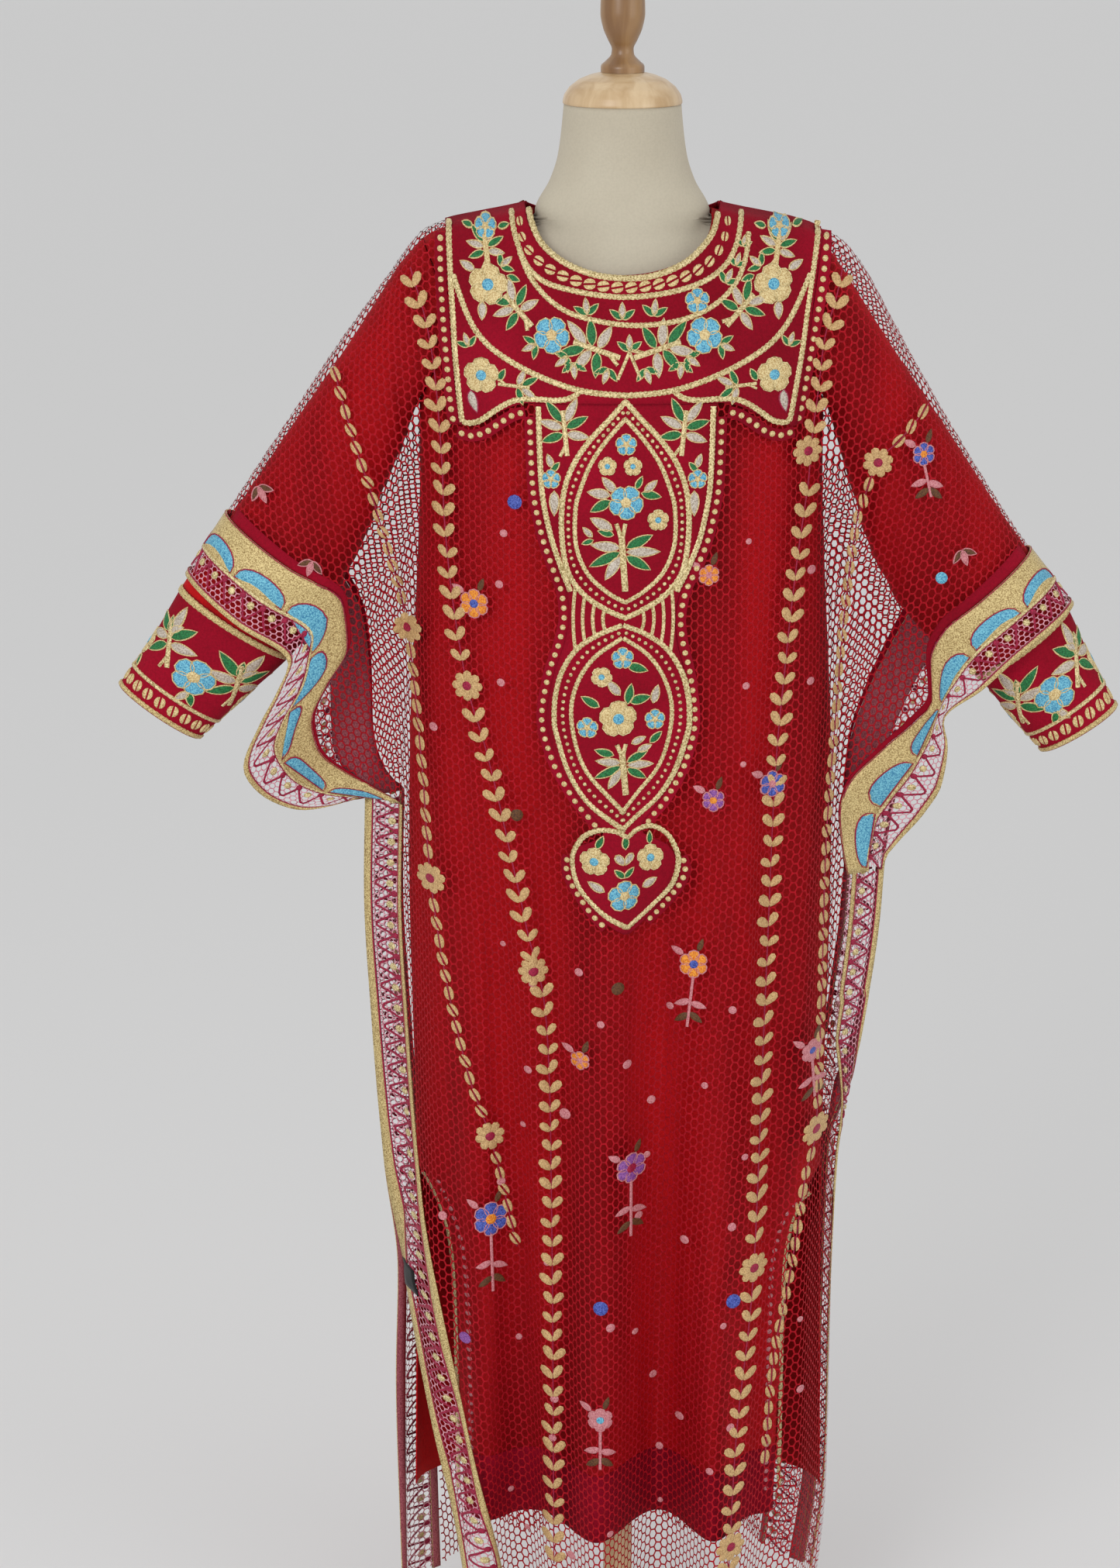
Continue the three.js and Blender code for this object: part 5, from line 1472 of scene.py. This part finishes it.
pair_of(motifs)
for x, z, angle, size in ((-34, 1424.5, 97, 15.5), (-1, 1420.5, 90, 15.5), (29, 1423.5, 84, 15.5),
                          (97, 1452, 62, 14), (107, 1467, 70, 12), (114, 1484, 75, 10)):
    sprig(yoke_work, x, z, angle, size)
for lean in (-1, 1):
    yoke_work.cord([(5.7, 1391), (5.7 + lean * 11, 1366)], 3.4, gold_thread, 1.0)
sprig(yoke_work, 5.7, 1392, 90, 15)
yoke_work.sew("yoke stitches", on_net(FRONT), "gold", ON_NET)

# %% [markdown]
# On the back the yoke is finished plainly: the same cords and beans round the neck, a row of flowers with small
# leaves between them, and one gold line along its lower edge and sides.

# %% The back of the yoke
def arc(half, high, drop, first, steps):
    """Part of an oval hanging round the neck."""
    turn = np.linspace(first, np.pi - first, steps)
    return np.stack([half * np.cos(turn), high - drop * np.sin(turn)], -1)


back_work = Stitching()
back_work.cord(arc(94 * 1.04, 1517, 25, 0.12, 40), 8, gold_cloth, 2.2, every=3, knobbly=0.12)
back_work.cord(arc(112, 1507, 33, 0.05, 50), 4.4, gold_thread, 1.3, every=2.4, knobbly=0.3)
for x, z, heading in along(arc(105, 1513, 30, 0.1, 50), 14.4):
    bean(back_work, x, z, heading + 90, 8, beige_silk, maroon_silk)
back_edge = [(-164, 1486), (-158, 1398), (168, 1398), (184, 1480)]
back_line = np.concatenate([np.linspace(a, b, 30) for a, b in zip(back_edge, back_edge[1:])])
back_work.cord(back_line, 4.2, gold_thread, 1.3, every=2.6, knobbly=0.3)
for x, kind in ((-118, BEIGE), (-59, BLUE), (3, BEIGE), (65, BLUE), (124, BEIGE)):
    flower(back_work, x, 1436, 14, *kind)
for x in (-88, -28, 34, 94):
    sprig(back_work, x, 1428, 90, 12)
back_work.sew("yoke back stitches", on_net(BACK), "gold", ON_NET)

# %% [markdown]
# The panel's medallions are pointed ovals of two gold lines with a row of dots between. Inside grow a palm and
# flowers. Nested arcs fill the narrow waist between the medallions, and the heart closes the panel.

# %% Lines of the panel
def mirrored(points, middle):
    """A left outline from top to bottom, closed by its mirror image."""
    left = smooth_path(points, 8)
    right = np.stack([2 * middle - left[:, 0], left[:, 1]], -1)[::-1]
    return np.concatenate([left, right])


panel_work = Stitching()
upper_outer = mirrored([(2, 1346), (-11.9, 1330.6), (-33, 1308), (-48, 1285), (-56.5, 1258), (-58, 1221.6),
                        (-52.5, 1186), (-37.5, 1164), (-15.3, 1149), (2, 1141)], 2)
upper_inner = mirrored([(2, 1330), (-16, 1309.5), (-31, 1287.5), (-41, 1262), (-45, 1244), (-44.5, 1211),
                        (-34, 1184.5), (-15.3, 1166.3), (2, 1156)], 2)
lower_outer = mirrored([(-1, 1134), (-22.6, 1125), (-43.3, 1110), (-57.5, 1087.4), (-64, 1062), (-65, 1038),
                        (-62.5, 1024), (-52, 990.6), (-35.5, 964), (-12, 944), (1, 933)], -0.5)
lower_inner = mirrored([(-1, 1121.7), (-25, 1104.4), (-41, 1081), (-48.5, 1053), (-45.5, 1022), (-35, 993),
                        (-14, 968), (1, 950)], -0.5)
heart = mirrored([(4, 925), (-6, 932.5), (-20, 934.7), (-33, 929), (-41, 920), (-47.2, 902), (-41, 876),
                  (-20, 853.5), (4, 835.5)], 4)


def knobbly_line(path, wide, high=1.2):
    panel_work.cord(path, wide, gold_thread, high, every=2.2, knobbly=0.25)


for path, wide in ((upper_outer, 5.4), (upper_inner, 4.4), (lower_outer, 5.2), (lower_inner, 4.4)):
    knobbly_line(path, wide)
for outer, inner in ((upper_outer, upper_inner), (lower_outer, lower_inner)):
    share = np.linspace(0, 1, 200)
    outer, inner = (np.stack([np.interp(share, np.linspace(0, 1, len(p)), p[:, k]) for k in (0, 1)], -1)
                    for p in (outer, inner))
    for x, z, _ in along((outer + inner) / 2, 7.0):
        panel_work.dot(x, z, 2.0, gold_thread, 0.9, 0, 6)
knobbly_line(heart, 5.0)


def beside_edge(z, side, out):
    """A line that follows the panel's edge, so far outside it."""
    return np.stack([panel_middle(z) + side * (panel_half(z) + out), z], -1)


for side in (LEFT, RIGHT):
    knobbly_line(beside_edge(np.linspace(1166, 1340, 60), side, -3.2), 5.4, 1.1)
    for z in (np.linspace(838, 905, 12), np.linspace(935, 1330, 70)):
        beaded(beside_edge(z, side, 5.5), 10.5, 2.9)
    t = np.linspace(-1, 1, 16)
    for out, tall in ((45, 33), (36, 24), (26.5, 17), (17, 11.5)):
        waist_arc = np.stack([side * (out + 2.5 * (1 - t * t)) + 0.5, 1140 + tall * t], -1)
        panel_work.cord(waist_arc, 3.6, gold_thread, 1.0)
print("panel lines drawn")

# %% [markdown]
# In each medallion a tall palm grows up into a large flower, with smaller flowers and leaves round it. A leaf is
# given by its stalk and its tip, which is how one thinks of it when filling a gap.

# %% Flowers and palms of the panel
def grown_palm(work, x, low, high, size):
    """A standing palm: a thick trunk with a forked top, and long leaves fanned from both sides of its middle."""
    work.cord([(x + 2, low), (x - 1.5, mix(low, high, 0.8))], 6.4, gold_thread, 1.3, every=2.2)
    for lean in (-5, 3.5):
        work.cord([(x - 1.3, mix(low, high, 0.74)), (x - 1.5 + lean, high)], 4.2, gold_thread, 1.1, every=2.2)
    for side, spreads in ((RIGHT, (64, 90, 120)), (LEFT, (84, 116, 148))):
        for k, spread in enumerate(spreads):
            colour = (green_silk, silver_silk)[(k + (side < 0)) % 2]
            length = size * (1, 1.16, 0.96)[k]
            leaf(work, x + side * 2.8, mix(low, high, 0.64 - 0.06 * k), 90 - side * spread, length, size * 0.34, colour)


def leaves_of(work, wanted):
    """Leaves, each from its stalk (x, z) to its tip (x, z)."""
    for x, z, tip_x, tip_z, colour in wanted:
        length = float(np.hypot(tip_x - x, tip_z - z))
        angle = float(np.degrees(np.arctan2(tip_z - z, tip_x - x)))
        leaf(work, x, z, angle, length, length * 0.42, colour)


def flowers_of(work, wanted):
    for x, z, radius, kind, *angle in wanted:
        flower(work, x, z, radius, *kind, *angle)


w = panel_work
flowers_of(w, [(2.7, 1306, 10, BLUE), (-15, 1286, 8.5, BEIGE), (9, 1286, 8.5, BEIGE), (2.5, 1252, 16.5, BLUE, 60),
               (33, 1235, 10, BEIGE)])
leaves_of(w, [(-7, 1262, -20, 1276, silver_silk), (-12, 1259, -34, 1262, silver_silk),
              (-12, 1254, -31, 1243, green_silk), (12, 1265, 18, 1277, green_silk),
              (20, 1262, 32, 1273, silver_silk), (17, 1261, 36, 1257, green_silk),
              (-10, 1226, -31, 1237, silver_silk), (-9, 1221, -24, 1225, green_silk),
              (-29, 1219, -38, 1228, silver_silk), (-28, 1216, -39, 1212, green_silk)])
grown_palm(w, 0, 1167, 1232, 28)
flowers_of(w, [(-0.5, 1102, 10.5, BLUE), (-20, 1084, 9.5, BEIGE, 60)])
leaves_of(w, [(-22, 1055, -39, 1064, green_silk), (-3, 1066, -15, 1081, silver_silk), (4, 1057, 8, 1077, green_silk),
              (6, 1059, 27, 1064, green_silk), (29, 1057, 34, 1075, silver_silk), (4, 1095, 24, 1089, green_silk),
              (8, 1018, 22, 1024, silver_silk), (14, 1010, 28, 1016, silver_silk),
              (26, 1018, 38, 1029, green_silk), (-9, 1008, -26, 1013, green_silk)])
flowers_of(w, [(-4.6, 1043, 17.5, BEIGE), (-33, 1034, 10, BLUE), (31, 1041, 10, BLUE)])
grown_palm(w, 0.5, 968, 1018, 23)
flowers_of(w, [(-26, 903, 13.5, BEIGE), (27, 903, 13.5, BEIGE)])
leaves_of(w, [(-24, 916, -18, 929, green_silk), (26, 917, 26, 930, green_silk), (2, 914, 2, 929, green_silk)])
heart_pair(w, 1, 899, 90, 13, silver_silk, beige_silk)
for angle in (135, 45):
    leaf(w, 1, 886, angle, 13, 5.5, green_silk)
flower(w, 1, 868, 15, *BLUE)
for x, angle in ((-17, 150), (19, 30)):
    leaf(w, x, 874, angle, 17, 7.5, silver_silk)
for side in (LEFT, RIGHT):
    palm(w, 1 + side * 56, 1316, 90 + side * -6, 42, stem_width=4.8)
    flower(w, 1 + side * 69, 1273, 9, *BLUE)
    for x, z, angle, length, width, colour in ((69, 1280, 42, 12, 5.5, green_silk),
                                               (68, 1284, -20, 13, 6, silver_silk)):
        leaf(w, 1 + side * x, z, 90 + side * angle, length, width, colour)
    leaf(w, 1 + side * 66, 1262, -90, 24, 9, silver_silk)
panel_work.sew("panel stitches", on_net(FRONT), "gold", ON_NET)
beads.sew("bead rows", on_net(FRONT), "gold", 0.5)

# %% [markdown]
# The cuffs carry the same flowers between gold cords, with a row of coffee beans above the wrist. Their ruler
# runs round the sleeve and down to the wrist. The small tab in the left seam is left blank.

# %% Cuffs and tab
CUFF_TOP, WRIST = 5.0, 7.0


def length_of(points):
    return float(np.linalg.norm(np.diff(points, axis=0), axis=1).sum())


for side, hand in HANDS:
    around = length_of(sleeve_point(side, np.linspace(0, 1, 60), np.full(60, 6.0)))
    down = length_of(sleeve_point(side, np.full(2, 0.75), np.array([CUFF_TOP, WRIST])))

    def on_cuff(a, c, lift, side=side, around=around, down=down):
        share = np.clip(c / down, 0, 1)
        return sleeve_point(side, (a / around) % 1.0, CUFF_TOP + (WRIST - CUFF_TOP) * share, lift)

    work = Stitching()
    for c, wide, colour in ((4, 6.5, gold_cloth), (down - 27, 4.2, gold_thread), (down - 3, 5, gold_cloth)):
        ring = [(a, c) for a in np.linspace(0, around, 90)]
        work.cord(ring, wide, colour, 1.6, every=2.6, knobbly=0.2)
    beans = int(around / 14)
    for k in range(beans):
        bean(work, (k + 0.5) * around / beans, down - 15, 110, 12.5, beige_silk)
    for middle, kind, radius in ((0.75, BLUE, 19), (0.25, BLUE, 19), (0.5, BEIGE, 16), (0.0, BEIGE, 16)):
        a = middle * around
        flower(work, a, down * 0.53, radius, *kind, -90)
        palm(work, a + around * 0.125, down * 0.42, -60, 50, stem_width=5)
        for lean, colour in ((30, green_silk), (-30, silver_silk)):
            leaf(work, a - 6, down * 0.66, 100 + lean, 16, 7, colour)
            leaf(work, a - around * 0.1, down * 0.34, -100 + lean, 17, 7, colour)
    work.sew(f"cuff stitches {hand}", on_cuff, "maroon", 0.3)
    print(f"{hand} cuff: {around:.0f} mm round, {down:.0f} mm down")

edging = side_borders[LEFT, FRONT]
TAB_LOW, TAB_HIGH = 420, 444
a = np.linspace(0, edging.length, 400)
heights = edging.place(a, SIDE_WIDE)[:, 2]
a_low, a_high = np.interp([TAB_LOW, TAB_HIGH], heights, a)
a, c = np.meshgrid(np.linspace(a_low, a_high, 7), np.linspace(21.5, 37.9, 5), indexing="ij")
grid = edging.place(a, c, 2.4)
cloth_piece("side tab", grid, 0.7, edging.place(a, c, 4.4) - grid, black_tape,
            ["label_tab"])

# %% [markdown]
# On the net itself the embroidery is light: two chains of heart-shaped leaves and two of coffee beans run down
# the body, with small flowers on them, and between them stand single flowers and many round spots. The thread
# only just covers the net, so each is a thin patch.

# %% Chains of leaves and beans
def chain(work, path, of_leaves, flowers=()):
    """A thin stem with hearts of leaves or coffee beans along it; where a flower sits they make room."""
    size, pitch, turn = (15.5, 20.0, 90) if of_leaves else (14.5, 17.5, 60)
    path = smooth_path(path)
    work.cord(path, 1.2, maroon_silk, 0.5, every=6)
    for k, (x, z, heading) in enumerate(along(path, pitch)):
        if all(np.hypot(x - a, z - b) > 17 for a, b in flowers):
            by_hand = np.sin(2.3 * k)
            if of_leaves:
                size_here = size * (1 + 0.09 * np.sin(1.3 * k))
                heart_pair(work, x, z - size * 0.5, heading + 180 + 9 * by_hand, size_here, vine_silk)
            else:
                bean(work, x, z, heading + 12 + 12 * by_hand, size, vine_silk, wide=0.26)
    for a, b in flowers:
        flower(work, a, b, 15, vine_silk, maroon_silk, turn, 8)


front_work = Stitching()
chain(front_work, [(-203.4, 1462), (-189.5, 1416.6), (-180, 1362.5), (-173.5, 1284.8), (-170.8, 1221.7),
                   (-163, 1145.4), (-149.5, 1066), (-133, 1010), (-114.4, 935), (-92, 830), (-73.3, 730),
                   (-68.1, 508.1), (-65.9, 160)], True, [(-149.5, 1066), (-86.1, 787.4)])
chain(front_work, [(211, 1462), (204.5, 1434.8), (194, 1398.4), (188, 1346.5), (182, 1300), (178.5, 1257),
                   (168.2, 1184.6), (158, 1090), (148.9, 977.6), (141, 743.4), (132.3, 477.9), (116.4, 307.6),
                   (109, 160)], True, [(178, 1290), (132.3, 477.9), (111.1, 188.8)])
chain(front_work, [(-279.3, 1367.3), (-256, 1290), (-238.1, 1231.2), (-209.2, 1109.5), (-195, 980), (-186.6, 868.8),
                   (-170, 760), (-148.4, 667.4), (-129.5, 610.9), (-103, 492.2)],
      False, [(-209.2, 1109.5), (-186.6, 868.8), (-129.5, 610.9)])
chain(front_work, [(296.8, 1329.5), (268, 1300), (246.7, 1277.4), (234, 1240), (225.5, 1200), (212, 1040),
                   (202, 900), (199.4, 740), (195.7, 602.8), (185.1, 561.3), (170, 460), (154.6, 373.7), (146, 260)],
      False, [(246.7, 1277.4), (195.7, 602.8)])
print("four chains drawn,", front_work.count, "points")

# %% [markdown]
# The single flowers are appliqué: petals of coloured silk edged in pale thread, some of them on a pale stem with
# two pairs of leaves. The spots are discs of thin organza; a fixed seed scatters them the same way every time.

# %% Single flowers and spots
def single_flower(work, x, z, petals, middle, radius=16.0, stem=0.0, lean=0.0):
    if stem:
        foot = (x + lean, z - radius - stem)
        work.cord([(x, z - radius * 0.6), foot], 2.8, pink_organza, 0.7, every=5)
        for height, angle in ((0.55, 200), (0.5, -20), (0.28, 215), (0.3, -40)):
            colour = pink_organza if height >= 0.5 else olive_silk
            root = mix(foot[0], x, height), mix(foot[1], z - radius, height)
            leaf(work, *root, angle, 17, 7, colour, edge=None, high=0.5)
    leaf(work, x - radius * 0.7, z + radius * 0.7, 150, 14, 7, pink_organza, edge=None, high=0.5)
    leaf(work, x + radius * 0.3, z + radius * 0.9, 70, 14, 6, olive_silk, edge=None, high=0.5)
    flower(work, x, z, radius, petals, middle, 90, 6, pink_organza, 0.7)


for x, z, petals, middle, radius, stem, lean in (
        (-142.4, 1147.1, orange_silk, deep_blue_silk, 14, 0, 0), (82, 1180, orange_silk, pink_organza, 10, 0, 0),
        (70.2, 796.3, orange_silk, deep_blue_silk, 14, 50, -6), (9.8, 588, violet_silk, maroon_silk, 15, 56, 0),
        (146, 969.2, deep_blue_silk, pink_organza, 13, 0, 0), (-129, 524.3, deep_blue_silk, orange_silk, 17, 58, 2),
        (190, 690, pink_organza, deep_blue_silk, 11, 40, 4), (-20, 330, pink_organza, blue_silk, 12, 40, 0),
        (291, 1284, deep_blue_silk, orange_silk, 11, 30, 8), (88, 960, violet_silk, orange_silk, 11, 0, 0),
        (-40, 700, orange_silk, pink_organza, 9, 0, 0)):
    single_flower(front_work, x, z, petals, middle, radius, stem, lean)
for x, z, angle in ((-353, 1248, -60), (-300, 1180, 250), (330, 1190, 290)):
    sprig(front_work, x, z, angle, 16, pink_organza, olive_silk, pink_organza)
for x, z, radius, material in (
        (-103.2, 1249.2, 7, deep_blue_silk), (-19.8, 447, 7.4, deep_blue_silk), (112, 448.1, 7.4, deep_blue_silk),
        (-155.2, 397.7, 6, violet_silk), (310.7, 1163.1, 6, blue_silk), (-101.6, 944.6, 6, olive_silk),
        (-3.9, 776, 6.4, olive_silk), (-10, 426, 4.5, pink_organza), (-55, 640, 5.6, pink_organza)):
    front_work.dot(x, z, radius, material, 0.7, 0, 12)
chance = np.random.default_rng(7)


def scatter(work, count, may_lie):
    """Spots of uneven size at random places, no two closer than 42 mm."""
    placed, tries = [], 0
    while len(placed) < count and tries < 4000:
        tries += 1
        x, z = chance.uniform(-185, 185), chance.uniform(170, 1300)
        if may_lie(x, z) and all(np.hypot(x - a, z - b) > 42 for a, b in placed):
            placed.append((x, z))
            work.dot(x, z, chance.uniform(2.8, 4.6), pink_organza, 0.45, 0, 10)
    return len(placed)


spots = scatter(front_work, 46, lambda x, z: not (z > 810 and abs(x) < 105) and abs(abs(x) - 150) > 26)
front_work.sew("net stitches front", on_net(FRONT), "net", 0.5)
behind_work = Stitching()
for side in (LEFT, RIGHT):
    path = [(side * x, z) for x, z in ((175, 1380), (168, 1200), (140, 900), (100, 600), (80, 170))]
    chain(behind_work, path, True, [(side * 150, 1000), (side * 103, 620)])
for x, z, petals, middle in ((0, 1180, orange_silk, deep_blue_silk), (-60, 900, deep_blue_silk, orange_silk),
                             (60, 760, violet_silk, maroon_silk), (0, 480, orange_silk, deep_blue_silk)):
    single_flower(behind_work, x, z, petals, middle, 14, 46)
spots += scatter(behind_work, 40, lambda x, z: True)
behind_work.sew("net stitches back", on_net(BACK), "net", 0.5)
print(spots, "spots")

# %% [markdown]
# Some trimming sits under the net: a gold cord beside each slit of the dress, and a darker facing inside its hem.
# The sleeve openings of the net are turned under twice, which makes a narrow dark edge next to the gold.

# %% Trimming under the net
slit_work = Stitching()
for points in ([(-199, 544), (-186, 518), (-172, 477), (-166.9, 416), (-164.5, 310), (-164, 215)],
               [(195, 517), (180, 504), (169.3, 468), (166, 414), (164, 257), (164, 215)]):
    path = smooth_path(points)
    slit_work.cord(path, 4.2, gold_thread, 1.1, every=3, knobbly=0.25)
    inner = path - [np.sign(path[0, 0]) * 14, 0]
    for x, z, _ in along(inner, 9.5):
        slit_work.dot(x, z, 2.6, pink_organza, 0.8)
slit_work.sew("slit stitches", laid_on(dress_depth, FRONT, lambda z: DRESS_GAP, 0), "gold", 0.3)
for face, word in FACES:
    grid = dress_grid(face, 110, 180)[:9] + [0, face * 0.5, 0]
    cloth_piece(f"hem facing {word}", grid, 0.4, outward_of(face), maroon_cloth)
U, v = np.meshgrid(np.linspace(0.98, 0.999, 5), np.linspace(NET_UP + 0.004, 0.992, 70))
for side, hand in HANDS:
    for face, word in FACES:
        grid = net_point(U, v, face, side, 0.9)
        outward = net_point(U, v, face, side, 3.0) - grid
        cloth_piece(f"turned edge {word} {hand}", grid, 0.7, outward, maroon_cloth)

# %% [markdown]
# Last come the floor, the light and the closing measurements. A wide pale floor and large soft lights are what
# a garment is shown in, because hard light hides embroidery.

# %% Floor and light
def soft_light(name, size, power, place, aim=(0, 0, 0.9)):
    """A round lamp turned to look at the middle of the garment."""
    light = bpy.data.lights.new(name, "AREA")
    light.shape, light.size, light.energy = "DISK", size, power
    lamp = bpy.data.objects.new(name, light)
    bpy.context.collection.objects.link(lamp)
    lamp.location = place
    direction = np.array(aim) - np.array(place)
    lamp.rotation_euler = (np.arctan2(np.hypot(direction[0], direction[1]), -direction[2]), 0,
                           np.arctan2(direction[1], direction[0]) - np.pi / 2)


floor_mesh = bpy.data.meshes.new("floor")
half = 60
floor_mesh.from_pydata([(-half, -half, 0), (half, -half, 0), (half, half, 0), (-half, half, 0)], [], [(0, 1, 2, 3)])
floor = bpy.data.objects.new("floor", floor_mesh)
bpy.context.collection.objects.link(floor)
pale, shader = finish_of("pale floor", 0.9)
shader.inputs["Base Color"].default_value = dye(224, 224, 224)
floor_mesh.materials.append(pale)
world = bpy.data.worlds.new("soft room")
world.use_nodes = True
room = world.node_tree.nodes["Background"]
room.inputs["Color"].default_value = (1, 1, 1, 1)
room.inputs["Strength"].default_value = 0.77
bpy.context.scene.world = world
soft_light("key light", 1.8, 44, (-1.5, -3.3, 2.5))
soft_light("fill light", 2.2, 16, (2.6, -2.2, 1.6))
bpy.context.scene.view_settings.view_transform = "Standard"
print("lights:", len(bpy.data.lights))

# %% [markdown]
# At the end the triangles of all the pieces are added up and printed.

# %% Closing measurements
print("triangles in all:", sum(triangles_made.values()))
